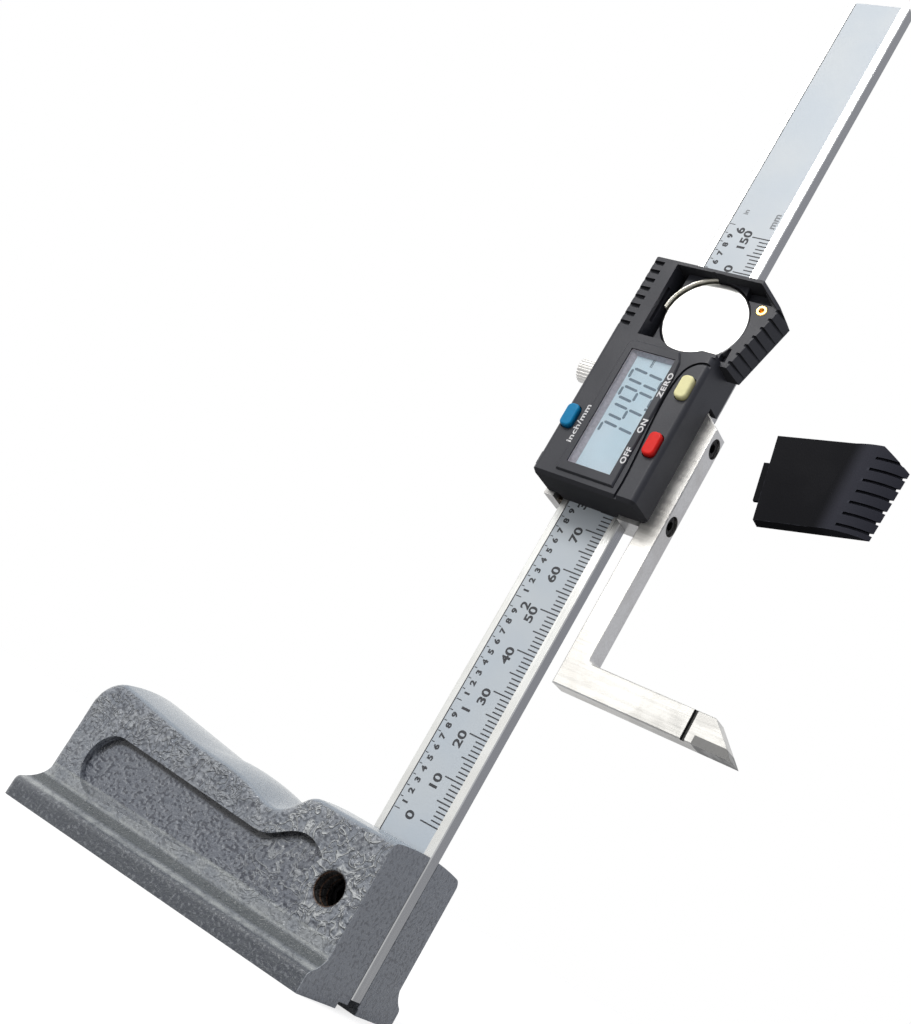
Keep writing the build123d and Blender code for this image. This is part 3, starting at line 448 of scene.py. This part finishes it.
def make_enamel():
    """Grey-blue hammered enamel: lively on the boss and the top edges, calm on the machined front."""
    made, tree, shader = new_finish("hammered_enamel", Specular_IOR_Level=0.5, Coat_Roughness=0.12)
    place, (out_x, out_y, up) = object_place(tree)
    facing_out, _, facing_up = facing_axes(tree)
    depth = maths(tree, "ABSOLUTE", out_y)
    front, pocket, crown, boss, amount = enamel_zones(tree, out_x, depth, up, facing_up)
    skin = use(tree, enamel_skin, Pebble_Scale=760.0, Worm_Scale=265.0, Fine_Scale=1700.0,
               Coarse=amount, Fine=0.16)
    blotches = soft_blotches(tree, 230.0, 3.0, 0.38, 0.62)
    colour = enamel_ground(tree, blotches, front, pocket, up, facing_out)
    colour = add_specks(tree, colour, front, pocket, crown)
    # painted shade in the skin's pits
    colour = blend_colour(tree, times(tree, skin.outputs["Pits"], amount, 0.6), colour, painted_pit_shade)
    # painted highlight along the skin's ridges, strongest on the boss
    ridge_highlight = times(tree, skin.outputs["Ridges"], amount, fade(tree, boss, 0.32, 0.95))
    colour = blend_colour(tree, ridge_highlight, colour, painted_ridge_highlight)
    edge_shadow = pocket_gutter(tree, out_x, depth, up)
    # painted shadow under the pocket's upper edge
    colour = blend_colour(tree, times(tree, edge_shadow, 0.95), colour, painted_edge_shadow)
    colour = add_foot_bands(tree, colour, blotches, inverse(tree, front), up)
    # painted sheen: faces that turn up high on the base are painted pale blue, as the light from above shows
    # on them
    colour = blend_colour(tree, times(tree, crown, 0.85), colour, painted_top_sheen)
    hole, thread = clamp_hole(tree, place, out_x, depth, up)
    gloss = maths(tree, "ADD", fade(tree, skin.outputs["Grains"], 0.22, 0.36), times(tree, hole, 0.3))
    coat = times(tree, fade(tree, crown, 0.35, 0.5), inverse(tree, hole))
    feed(tree, shader, Base_Color=blend_colour(tree, hole, colour, thread), Roughness=gloss, Coat_Weight=coat)
    set_bump(tree, shader, skin.outputs["Height"], 0.38 * mm)
    return made


def make_ground_steel(name, tint, stretch, rough_low=0.26, rough_high=0.38, cloudy=0.25, side=None,
                      slit=None, tip=None):
    """Ground stainless steel with fine lines along one direction, cloudy patches and brighter edges.

    side is the place of a right-hand face painted darker as painted shade, and slit is a black line of
    painted shade in a
    groove: its middle, half width and depth. tip is the span over which the steel turns duller towards one
    end.
    """
    # painted shade for the right-hand face and for the slit
    painted_side_shade, painted_slit_shade = (0.40, 0.405, 0.415), (0.004, 0.004, 0.004)
    side_fade, slit_fade, floor_fade = 0.04 * mm, 0.04 * mm, 0.06 * mm
    made, tree, shader = new_finish(name, Metallic=1.0)
    lines = use(tree, streaks, Stretch=stretch, Low=0.35, High=0.65).outputs[0]
    cloud = soft_blotches(tree, 130.0, 4.0, 0.38, 0.66, Warp=0.5)
    worn = use(tree, edge_wear, Width=0.25 * mm, Amount=0.5).outputs[0]
    cloud_tint = (tint[0] * 0.74, tint[1] * 0.72, tint[2] * 0.70)
    colour = blend_colour(tree, lines, scaled(tint, 0.91), tint)
    colour = blend_colour(tree, times(tree, cloud, cloudy), colour, cloud_tint)
    colour = blend_colour(tree, worn, colour, scaled(tint, 1.10))
    _, (out_x, out_y, _) = object_place(tree)
    if side:
        # painted shade on the right-hand face
        colour = blend_colour(tree, between(tree, out_x, side - side_fade, side), colour, painted_side_shade)
    if tip:
        duller = times(tree, between(tree, out_x, *tip), fade(tree, cloud, 0.5, 1.0))
        colour = blend_colour(tree, duller, colour, scaled(tint, 0.64))
    if slit:
        middle, half, floor = slit
        # painted shade: the slit is painted black, and is not metal
        slit_shade = times(tree, between(tree, away_from(tree, out_x, middle), half + slit_fade, half),
                       between(tree, out_y, floor + floor_fade, floor))
        colour = blend_colour(tree, slit_shade, colour, painted_slit_shade)
        feed(tree, shader, Metallic=maths(tree, "SUBTRACT", 1.0, slit_shade))
    feed(tree, shader, Base_Color=colour, Roughness=fade(tree, lines, rough_high, rough_low))
    set_bump(tree, shader, lines, 0.006 * mm, 0.5)
    return made


def make_moulded(name, colour, lighter, rough=0.5, shine=0.35, end=None):
    """Moulded plastic with a fine matt grain, edges rubbed a little paler, and undersides painted dark as
    painted shade and made dull.

    end is a paler stretch along X, a painted sheen: where it starts, where it is full, and its colour.
    """
    under_slope, painted_under_shade = (-0.35, -0.85), (0.004, 0.004, 0.005)
    made, tree, shader = new_finish(name, Specular_IOR_Level=shine)
    fine = soft_blotches(tree, 2600.0, 2.0)
    handled = soft_blotches(tree, 70.0, 4.0, 0.35, 0.7, Shift=(0.2, 0.0, 0.1))
    worn = use(tree, edge_wear, Width=0.3 * mm, Amount=0.7).outputs[0]
    base = blend_colour(tree, handled, colour, scaled(colour, 1.12))
    if end:
        _, (out_x, _, _) = object_place(tree)
        # painted sheen over the stretch given by end
        start, stop, paler = end
        base = blend_colour(tree, between(tree, out_x, start, stop), base, paler)
    base = blend_colour(tree, worn, base, lighter)
    # painted shade: faces that turn down are darkened, and made rougher
    under = between(tree, facing_axes(tree)[2], *under_slope)
    base = blend_colour(tree, times(tree, under, 0.75), base, painted_under_shade)
    gloss = largest(tree, fade(tree, handled, rough, rough - 0.08), times(tree, under, 0.95))
    feed(tree, shader, Base_Color=base, Roughness=gloss)
    set_bump(tree, shader, fine, 0.012 * mm, 0.6)
    return made


def make_glossy_cap(name, colour, deeper):
    """A glossy moulded button cap, a little deeper in colour at its foot."""
    foot_span = (-12.3 * mm, -11.4 * mm)
    made, tree, shader = new_finish(name, Roughness=0.40, Specular_IOR_Level=0.2)
    _, (_, out_y, _) = object_place(tree)
    cloud = soft_blotches(tree, 900.0, 2.0)
    base = blend_colour(tree, times(tree, cloud, 0.18), colour, deeper)
    base = blend_colour(tree, between(tree, out_y, *foot_span), base, deeper)
    feed(tree, shader, Base_Color=base)
    set_bump(tree, shader, cloud, 0.01 * mm, 0.3)
    return made


def make_foil():
    """The scale's satin printed foil, with a faint change of blue along it."""
    made, tree, shader = new_finish("scale_foil", Specular_IOR_Level=0.5)
    cloud = soft_blotches(tree, 60.0)
    fine = soft_blotches(tree, 2400.0, 2.0)
    base = blend_colour(tree, cloud, (0.500, 0.560, 0.620), (0.545, 0.590, 0.630))
    feed(tree, shader, Base_Color=base, Roughness=fade(tree, fine, 0.34, 0.44))
    set_bump(tree, shader, fine, 0.004 * mm, 0.5)
    return made


def make_ink(name, colour):
    """Screen-printed ink, slightly uneven."""
    made, tree, shader = new_finish(name, Specular_IOR_Level=0.3)
    cloud = soft_blotches(tree, 1800.0, 2.0)
    base = blend_colour(tree, cloud, colour, scaled(colour, 1.25))
    feed(tree, shader, Base_Color=base, Roughness=fade(tree, cloud, 0.55, 0.65))
    return made


def make_board():
    """Green solder mask with copper tracks faintly raised under it."""
    made, tree, shader = new_finish("circuit_board", Roughness=0.35)
    place, _ = object_place(tree)
    tracks = add(tree, "ShaderNodeTexVoronoi", {"Vector": place, "Scale": 420.0},
                 feature="DISTANCE_TO_EDGE", distance="EUCLIDEAN")
    line = between(tree, tracks.outputs["Distance"], 0.10, 0.04)
    feed(tree, shader, Base_Color=blend_colour(tree, line, (0.012, 0.075, 0.035), (0.035, 0.170, 0.070)))
    set_bump(tree, shader, line, 0.02 * mm, 0.6)
    return made


def make_rubber():
    """Dull black rubber."""
    made, tree, shader = new_finish("black_rubber", Specular_IOR_Level=0.3)
    fine = soft_blotches(tree, 1600.0)
    base = blend_colour(tree, fine, (0.020, 0.020, 0.021), (0.034, 0.034, 0.035))
    feed(tree, shader, Base_Color=base, Roughness=fade(tree, fine, 0.7, 0.85))
    set_bump(tree, shader, fine, 0.02 * mm, 0.5)
    return made


def make_cell_skin():
    """Bright nickel plate, brushed in rings about the cell's centre."""
    cell_x, cell_z = beam_x + 6.2 * mm, 160.2 * mm
    rings_per_metre = 5200.0
    made, tree, shader = new_finish("cell_plate", Metallic=1.0)
    _, (out_x, _, up) = object_place(tree)
    off_x = maths(tree, "SUBTRACT", out_x, cell_x)
    off_z = maths(tree, "SUBTRACT", up, cell_z)
    along = times(tree, distance(tree, off_x, off_z), rings_per_metre)
    rings = add(tree, "ShaderNodeTexNoise", {"W": along, "Scale": 1.0, "Detail": 2.0},
                noise_dimensions="1D").outputs[0]
    feed(tree, shader, Base_Color=blend_colour(tree, rings, (0.80, 0.80, 0.79), (0.87, 0.87, 0.86)),
         Roughness=between(tree, rings, 0.3, 0.7, 0.30, 0.42))
    set_bump(tree, shader, rings, 0.003 * mm, 0.4)
    return made


def make_cloudy_metal(name, dark, light, scale, rough, metallic=1.0, worn=None):
    """Plain metal whose colour and gloss change in soft blotches. worn is the colour of rubbed edges."""
    made, tree, shader = new_finish(name, Metallic=metallic)
    cloud = soft_blotches(tree, scale)
    base = blend_colour(tree, cloud, dark, light)
    if worn:
        rubbed = use(tree, edge_wear, Width=0.15 * mm, Amount=0.5).outputs[0]
        base = blend_colour(tree, rubbed, base, worn)
    feed(tree, shader, Base_Color=base, Roughness=fade(tree, cloud, *rough))
    return made


def make_lens():
    """Clear lens: almost all see-through, glossier towards grazing angles."""
    made, tree, shader = new_finish("clear_lens", Base_Color=(0.75, 0.80, 0.83), Roughness=0.04)
    edge = add(tree, "ShaderNodeFresnel", {"IOR": 1.45})
    haze = fade(tree, soft_blotches(tree, 300.0, 2.0), 0.02, 0.035)
    feed(tree, shader, Alpha=maths(tree, "ADD", edge.outputs[0], haze, clamp=True))
    return made


def make_display():
    """Pale grey-blue liquid crystal glass, with a faint painted glow, though it is no lamp."""
    # painted light: the glass glows faintly, though it is no lamp
    made, tree, shader = new_finish("display_glass", Roughness=0.3, Emission_Color=(0.72, 0.92, 1.0),
                                    Emission_Strength=0.05)
    cloud = soft_blotches(tree, 120.0, 2.0)
    feed(tree, shader, Base_Color=blend_colour(tree, cloud, (0.60, 0.745, 0.83), (0.65, 0.77, 0.85)))
    return made


arm_low, arm_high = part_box("scriber_arm")
arm_slit = (arm_high[0] - 9.05 * mm, 0.47 * mm, arm_low[1] + 0.52 * mm)
arm_tip = (arm_low[0] + 8.0 * mm, arm_high[0] - 9.0 * mm)
beam_side = beam_x + 7.98 * mm
cover_low, cover_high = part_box("battery_cover")
cover_ribs = cover_low[0] + 0.58 * (cover_high[0] - cover_low[0])
# the cover's ribs are painted paler, a painted sheen where they tilt to the light
rib_sheen = (cover_ribs, cover_ribs + 3.5 * mm, (0.034, 0.035, 0.046))

enamel = make_enamel()
beam_steel = make_ground_steel("beam_steel", (0.76, 0.765, 0.757), (2500.0, 2500.0, 30.0), side=beam_side)
frame_steel = make_ground_steel("frame_steel", (0.52, 0.515, 0.51), (2200.0, 2200.0, 60.0), 0.30, 0.42)
arm_steel = make_ground_steel("arm_steel", (0.81, 0.80, 0.778), (60.0, 2200.0, 2200.0), 0.30, 0.42,
                              cloudy=0.45, slit=arm_slit, tip=arm_tip)
knob_steel = make_ground_steel("knob_steel", (0.80, 0.79, 0.775), (300.0, 2200.0, 2200.0), 0.28, 0.40)
carbide = make_ground_steel("ground_carbide", (0.17, 0.17, 0.17), (500.0, 500.0, 60.0), 0.30, 0.44)
charcoal = make_moulded("charcoal_plastic", (0.031, 0.0325, 0.041), (0.078, 0.081, 0.094))
cover_black = make_moulded("cover_plastic", (0.0055, 0.0057, 0.0075), (0.060, 0.062, 0.080),
                           rough=0.6, shine=0.05, end=rib_sheen)
foil = make_foil()
scale_ink = make_ink("scale_ink", (0.050, 0.052, 0.058))
faint_ink = make_ink("faint_ink", (0.22, 0.235, 0.25))
word_ink = make_ink("word_ink", (0.62, 0.62, 0.63))
segment_ink = make_ink("segment_ink", (0.15, 0.205, 0.255))
border_grey = make_ink("display_border", (0.50, 0.46, 0.50))
board_green = make_board()
rubber = make_rubber()
cell_skin = make_cell_skin()
spring_strip = make_cloudy_metal("spring_strip", (0.60, 0.58, 0.50), (0.74, 0.72, 0.66), 500.0, (0.25, 0.4))
brass = make_cloudy_metal("bright_brass", (0.80, 0.52, 0.17), (0.92, 0.68, 0.28), 700.0, (0.22, 0.36))
# the gib strip's bronze is painted very dark, as painted shade where it sits in the slider frame
painted_shade_bronze = make_cloudy_metal("painted_shade_bronze", (0.10, 0.075, 0.05), (0.17, 0.13, 0.09), 700.0, (0.22, 0.36))
black_oxide = make_cloudy_metal("black_oxide", (0.010, 0.010, 0.011), (0.022, 0.021, 0.022), 800.0,
                                (0.4, 0.55), metallic=0.8, worn=(0.10, 0.095, 0.09))
lens = make_lens()
display = make_display()
blue_cap = make_glossy_cap("blue_cap", (0.001, 0.21, 0.44), (0.0, 0.10, 0.24))
red_cap = make_glossy_cap("red_cap", (0.76, 0.014, 0.010), (0.40, 0.005, 0.005))
yellow_cap = make_glossy_cap("yellow_cap", (0.84, 0.80, 0.44), (0.60, 0.55, 0.27))

finishes = {
    "base_casting": enamel, "beam_clamp_screw": black_oxide, "beam": beam_steel,
    "scale_stator": board_green, "scale_label": foil, "slider_frame": frame_steel,
    "gib_strip": painted_shade_bronze, "gib_screws": black_oxide, "lock_screw": knob_steel,
    "scriber_arm": arm_steel, "carbide_edge": carbide, "arm_screws": black_oxide,
    "housing": charcoal, "housing_screws": frame_steel, "window_lens": lens,
    "display_glass": display, "display_connectors": rubber, "main_board": board_green,
    "sensor_board": board_green, "board_spacers": rubber, "button_domes": rubber,
    "blue_button": blue_cap, "red_button": red_cap, "yellow_button": yellow_cap,
    "coin_cell": cell_skin, "negative_contact": spring_strip, "positive_contact": spring_strip,
    "brass_bush": brass, "battery_cover": cover_black,
}
for node_name, finish in finishes.items():
    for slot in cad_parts[node_name].material_slots:
        slot.material = finish


# ---------------------------------------------------------------------------------------------
# New pieces
# ---------------------------------------------------------------------------------------------

def finish_piece(name, shape, finish, body):
    """Turns a bmesh into a piece that rides on a body."""
    bmesh.ops.recalc_face_normals(shape, faces=shape.faces)
    mesh = bpy.data.meshes.new(name)
    shape.to_mesh(mesh)
    shape.free()
    mesh.materials.append(finish)
    piece = bpy.data.objects.new(name, mesh)
    bpy.context.scene.collection.objects.link(piece)
    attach(piece, body)
    return piece


def add_block(shape, low, high):
    """Adds a closed block between two corners."""
    centre = [(a + b) / 2 for a, b in zip(low, high)]
    spans = [abs(b - a) for a, b in zip(low, high)]
    place = Matrix.Translation(centre) @ Matrix.Diagonal((*spans, 1.0))
    return bmesh.ops.create_cube(shape, size=1.0, matrix=place)["verts"]


capital_share = 0.72  # of a letter's nominal size
ink_thick = 0.012 * mm


def add_words(shape, words, height, centre, wide=1.0, bold=0.03, spread=1.0):
    """Adds raised words that run up the gauge, with their tops to the left, about a centre point.

    height is that of a capital letter. wide stretches the letters along their line, bold swells their
    strokes and spread sets them apart.
    """
    across, depth, up = centre
    letters = bpy.data.curves.new("letters", "FONT")
    letters.body = words
    letters.size = height / capital_share
    letters.align_x = "CENTER"
    letters.align_y = "CENTER"
    letters.extrude = ink_thick
    letters.offset = bold * letters.size
    letters.resolution_u = 3
    letters.space_character = spread
    carrier = bpy.data.objects.new("letters", letters)
    bpy.context.scene.collection.objects.link(carrier)
    bpy.context.view_layer.update()
    flat = bpy.data.meshes.new_from_object(carrier.evaluated_get(bpy.context.evaluated_depsgraph_get()))
    turn = Matrix(((0, -1, 0, across), (0, 0, -1, depth), (wide, 0, 0, up), (0, 0, 0, 1)))
    flat.transform(turn)
    shape.from_mesh(flat)
    bpy.data.objects.remove(carrier)
    bpy.data.curves.remove(letters)
    bpy.data.meshes.remove(flat)


def make_scale_print():
    """Millimetre lines and numbers at the right, inch lines and numbers at the left, and a border."""
    foil_front = 0.0
    front, behind = foil_front - ink_thick, foil_front + 0.01 * mm
    right_end, left_end = beam_x + 5.85 * mm, beam_x - 5.90 * mm
    border_left, border_right = beam_x - 6.30 * mm, beam_x - 6.05 * mm
    border_low, border_high = 29.2 * mm, beam_top - 0.5 * mm
    range_mm, range_inch = 150, 6
    mm_reach = {"ten": 4.65 * mm, "five": 3.55 * mm, "one": 2.4 * mm}
    inch_reach, tenth_reach = 1.4 * mm, 0.7 * mm
    mm_wide, inch_wide = 0.30 * mm, 0.20 * mm
    mm_figure, inch_figure, tenth_figure = 2.0 * mm, 2.1 * mm, 1.3 * mm
    shape = bmesh.new()

    def line(x_low, x_high, z, wide):
        add_block(shape, (x_low, front, z - wide / 2), (x_high, behind, z + wide / 2))

    for step in range(range_mm + 1):
        z = scale_zero + step * mm
        kind = "ten" if step % 10 == 0 else "five" if step % 5 == 0 else "one"
        line(right_end - mm_reach[kind], right_end, z, mm_wide)
        if kind == "ten":
            # the zero stands left of its line, and the other numbers a little under theirs
            centre_x = beam_x - (1.5 if step == 0 else 0.1) * mm
            drop = (0.1 if step == 0 else 1.9 if step < 100 else 1.4) * mm
            add_words(shape, str(step), mm_figure, (centre_x, foil_front, z - drop), wide=1.38)
    for step in range(range_inch * 10 + 1):
        z = scale_zero + step * inch / 10
        whole, tenth = divmod(step, 10)
        line(left_end, left_end + (tenth_reach if tenth else inch_reach), z, inch_wide)
        if tenth:
            spot = (beam_x - 4.15 * mm, foil_front, z - 0.75 * mm)
            add_words(shape, str(tenth), tenth_figure, spot, wide=1.25, bold=0.05)
        elif whole:
            spot = (beam_x - 2.4 * mm, foil_front, z - 1.3 * mm)
            add_words(shape, str(whole), inch_figure, spot, wide=1.25)
    add_block(shape, (border_left, front, border_low), (border_right, behind, border_high))
    return finish_piece("scale_print", shape, scale_ink, "base")


def make_scale_units():
    """The scale's two units, printed faintly over its upper end."""
    shape = bmesh.new()
    add_words(shape, "in", 1.2 * mm, (beam_x - 3.5 * mm, 0.0, 194.8 * mm), wide=1.2)
    add_words(shape, "mm", 1.7 * mm, (beam_x + 4.5 * mm, 0.0, 193.7 * mm), wide=1.2)
    return finish_piece("scale_units", shape, faint_ink, "base")


def add_bar(shape, start, end, thick, front, behind):
    """Adds one segment of a digit: a flat bar with two pointed ends, drawn out of a six-sided face."""
    run = end - start
    half_length = (run.length - 0.75 * thick) / 2
    along = run.normalized()
    across = Vector((-along.z, 0.0, along.x))
    verts = bmesh.ops.create_circle(shape, cap_ends=True, segments=6, radius=0.5)["verts"]
    face = verts[0].link_faces[0]
    extruded = bmesh.ops.extrude_face_region(shape, geom=[face])["geom"]
    lifted = [vert for vert in extruded if isinstance(vert, bmesh.types.BMVert)]
    bmesh.ops.translate(shape, verts=lifted, vec=(0, 0, 1.0))
    for vert in set(verts) | set(lifted):
        # the two pointed ends lie on the bar's axis, the other corners on its long sides
        if abs(abs(vert.co.y) - 0.5) < 0.01:
            reach, offset = half_length, 0.0
        else:
            reach, offset = half_length - thick / 2, math.copysign(thick / 2, vert.co.x)
        depth = front if vert.co.z > 0.5 else behind
        spot = (start + end) / 2 + along * math.copysign(reach, vert.co.y) + across * offset
        vert.co = (spot.x, depth, spot.z)


def make_digits():
    """The display's digits, built from slanted segments that run up the window, tops to the left."""
    tall, broad, thick = 8.1 * mm, 2.75 * mm, 0.62 * mm
    slant = 0.13
    top_x = beam_x - 2.2 * mm
    first_z, pitch = 126.9 * mm, 4.65 * mm
    front, behind = -10.135 * mm, -10.10 * mm
    point_low = (beam_x + 5.4 * mm, front, 134.6 * mm)
    point_high = (beam_x + 6.1 * mm, behind, 135.2 * mm)
    unit_centre = (beam_x + 1.4 * mm, -10.115 * mm, 145.7 * mm)
    # where each bar starts and ends, as shares of the digit's height down and of its width across
    bars = {
        "top": ((0.0, 0.0), (0.0, 1.0)), "middle": ((0.5, 0.0), (0.5, 1.0)),
        "bottom": ((1.0, 0.0), (1.0, 1.0)),
        "left_top": ((0.0, 0.0), (0.5, 0.0)), "left_low": ((0.5, 0.0), (1.0, 0.0)),
        "right_top": ((0.0, 1.0), (0.5, 1.0)), "right_low": ((0.5, 1.0), (1.0, 1.0)),
    }
    digits = {
        "7": ("top", "right_top", "right_low"),
        "4": ("left_top", "middle", "right_top", "right_low"),
        "9": ("top", "left_top", "middle", "right_top", "right_low", "bottom"),
        "0": ("top", "left_top", "left_low", "bottom", "right_top", "right_low"),
    }
    shape = bmesh.new()
    for index, digit in enumerate("7490"):
        digit_z = first_z + pitch * index
        for bar in digits[digit]:
            start, end = (Vector((top_x + down * tall, 0.0, digit_z + side * broad - down * tall * slant))
                          for down, side in bars[bar])
            add_bar(shape, start, end, thick, front, behind)
    add_block(shape, point_low, point_high)
    add_words(shape, "mm", 0.9 * mm, unit_centre)
    return finish_piece("display_digits", shape, segment_ink, "slider")


def make_display_border():
    """The pale frame in the window: it slopes from the lens's edge down and in to the glass."""
    outer_x, outer_z = (beam_x - 4.13 * mm, beam_x + 7.03 * mm), (117.72 * mm, 147.28 * mm)
    inner_x, inner_z = (beam_x - 2.90 * mm, beam_x + 6.50 * mm), (118.35 * mm, 146.60 * mm)
    front, sunk, behind = -11.45 * mm, -10.18 * mm, -10.11 * mm
    shape = bmesh.new()
    bmesh.ops.create_grid(shape, x_segments=1, y_segments=1, size=0.5)
    inset = bmesh.ops.inset_region(shape, faces=shape.faces[:], thickness=0.1, use_even_offset=True,
                                   use_boundary=True)
    middle = [face for face in shape.faces if face not in inset["faces"]]
    for vert in shape.verts:
        outermost = max(map(abs, vert.co.xy)) > 0.45
        places_x, places_z, depth = (outer_x, outer_z, front) if outermost else (inner_x, inner_z, sunk)
        vert.co = (places_x[vert.co.x > 0], depth, places_z[vert.co.y > 0])
    bmesh.ops.delete(shape, geom=middle, context="FACES_ONLY")
    ring = bmesh.ops.extrude_face_region(shape, geom=shape.faces[:])["geom"]
    for vert in ring:
        if isinstance(vert, bmesh.types.BMVert):
            vert.co.y = behind
    bmesh.ops.remove_doubles(shape, verts=shape.verts, dist=1e-7)
    return finish_piece("display_border", shape, border_grey, "slider")


def make_head_words():
    """The buttons' names, printed in white."""
    flat, panel = -11.3 * mm, -11.85 * mm
    blue_name = (beam_x - 6.5 * mm, flat, 126.9 * mm)
    yellow_name = (beam_x + 8.1 * mm, panel, 140.9 * mm)
    red_names = {"ON": (beam_x + 8.15 * mm, panel, 130.4 * mm), "OFF": (beam_x + 8.2 * mm, panel, 122.9 * mm)}
    shape = bmesh.new()
    add_words(shape, "inch/mm", 1.3 * mm, blue_name, wide=1.5, bold=0.022, spread=1.05)
    add_words(shape, "ZERO", 1.2 * mm, yellow_name, wide=1.35, spread=1.15)
    for words, centre in red_names.items():
        add_words(shape, words, 1.25 * mm, centre, wide=1.25, spread=1.1)
    return finish_piece("head_words", shape, word_ink, "slider")


make_scale_print()
make_scale_units()
make_digits()
make_display_border()
make_head_words()


# ---------------------------------------------------------------------------------------------
# Stage, light and camera
# ---------------------------------------------------------------------------------------------

def make_floor():
    """A table that lights the gauge as a pale grey and looks white to the eye."""
    table_size, table_grey = 3.0, 0.34
    seen_glow, mirrored_glow = 0.72, 0.35
    made, tree, shader = new_finish("white_table", Base_Color=(table_grey, table_grey, table_grey),
                                    Roughness=0.9, Emission_Color=(1.0, 1.0, 1.0))
    path = add(tree, "ShaderNodeLightPath")
    seen = largest(tree, path.outputs["Is Camera Ray"], path.outputs["Is Transmission Ray"])
    mirrored = times(tree, path.outputs["Is Glossy Ray"], mirrored_glow)
    feed(tree, shader, Emission_Strength=largest(tree, times(tree, seen, seen_glow), mirrored))
    shape = bmesh.new()
    bmesh.ops.create_grid(shape, x_segments=1, y_segments=1, size=table_size)
    mesh = bpy.data.meshes.new("table")
    shape.to_mesh(mesh)
    shape.free()
    mesh.materials.append(made)
    table = bpy.data.objects.new("table", mesh)
    bpy.context.scene.collection.objects.link(table)


def make_world():
    """White to the eye, and for everything else a studio that is brighter at the gauge's rear end."""
    rear_end = (-0.95, -0.20, 0.25)
    soft_dim, soft_bright = (0.32, 0.33, 0.37), (0.78, 0.78, 0.78)
    mirrored_dim, mirrored_bright = (0.55, 0.56, 0.60), (1.04, 1.04, 1.02)
    world = bpy.data.worlds.new("studio")
    bpy.context.scene.world = world
    world.use_nodes = True
    tree = world.node_tree
    background = tree.nodes["Background"]
    around = add(tree, "ShaderNodeTexCoord").outputs["Generated"]
    towards = add(tree, "ShaderNodeVectorMath", {0: around, 1: rear_end}, operation="DOT_PRODUCT")
    path = add(tree, "ShaderNodeLightPath")
    glow = between(tree, towards.outputs["Value"], -0.5, 0.4)
    soft = blend_colour(tree, glow, soft_dim, soft_bright)
    mirrored = blend_colour(tree, glow, mirrored_dim, mirrored_bright)
    unseen = blend_colour(tree, path.outputs["Is Glossy Ray"], soft, mirrored)
    seen = largest(tree, path.outputs["Is Camera Ray"], path.outputs["Is Transmission Ray"])
    feed(tree, background, Color=blend_colour(tree, seen, unseen, (1.0, 1.0, 1.0)))


lamp_aim = Vector((0.04, 0.0, 0.12))


def add_lamp(name, direction, distance_off, size, watts, tint):
    """Adds a square soft lamp that stands in a direction from the gauge and points at its middle."""
    data = bpy.data.lights.new(name, "AREA")
    data.shape = "SQUARE"
    data.size = size
    data.energy = watts
    data.color = tint
    lamp = bpy.data.objects.new(name, data)
    lamp.location = lamp_aim + Vector(direction).normalized() * distance_off
    lamp.rotation_euler = (lamp_aim - lamp.location).to_track_quat("-Z", "Y").to_euler()
    bpy.context.scene.collection.objects.link(lamp)


def make_camera():
    """The camera stands low on the reader's right and is rolled, so the beam leans to the right."""
    heading, climb, roll = math.radians(-34.726), math.radians(14.732), math.radians(30.365)
    data = bpy.data.cameras.new("camera")
    data.sensor_width = 36.0
    data.lens = 49.67
    data.shift_x = -0.0647
    data.shift_y = -0.0015
    data.clip_start = 0.01
    camera = bpy.data.objects.new("camera", data)
    camera.location = (194.9 * mm, -248.36 * mm, 28.09 * mm)
    level_x, level_y = math.sin(heading) * math.cos(climb), math.cos(heading) * math.cos(climb)
    level = Vector((level_x, level_y, math.sin(climb))).to_track_quat("-Z", "Y")
    camera.rotation_euler = (level @ Quaternion((0.0, 0.0, 1.0), roll)).to_euler()
    bpy.context.scene.collection.objects.link(camera)
    bpy.context.scene.camera = camera


make_floor()
make_world()
add_lamp("key", (-0.25, -0.82, 0.55), 1.25, 0.45, 8.2, (1.0, 0.985, 0.96))
add_lamp("overhead", (-0.1, -0.1, 1.0), 0.80, 0.60, 1.4, (0.97, 0.985, 1.0))
make_camera()
bpy.context.scene.view_settings.view_transform = "Standard"
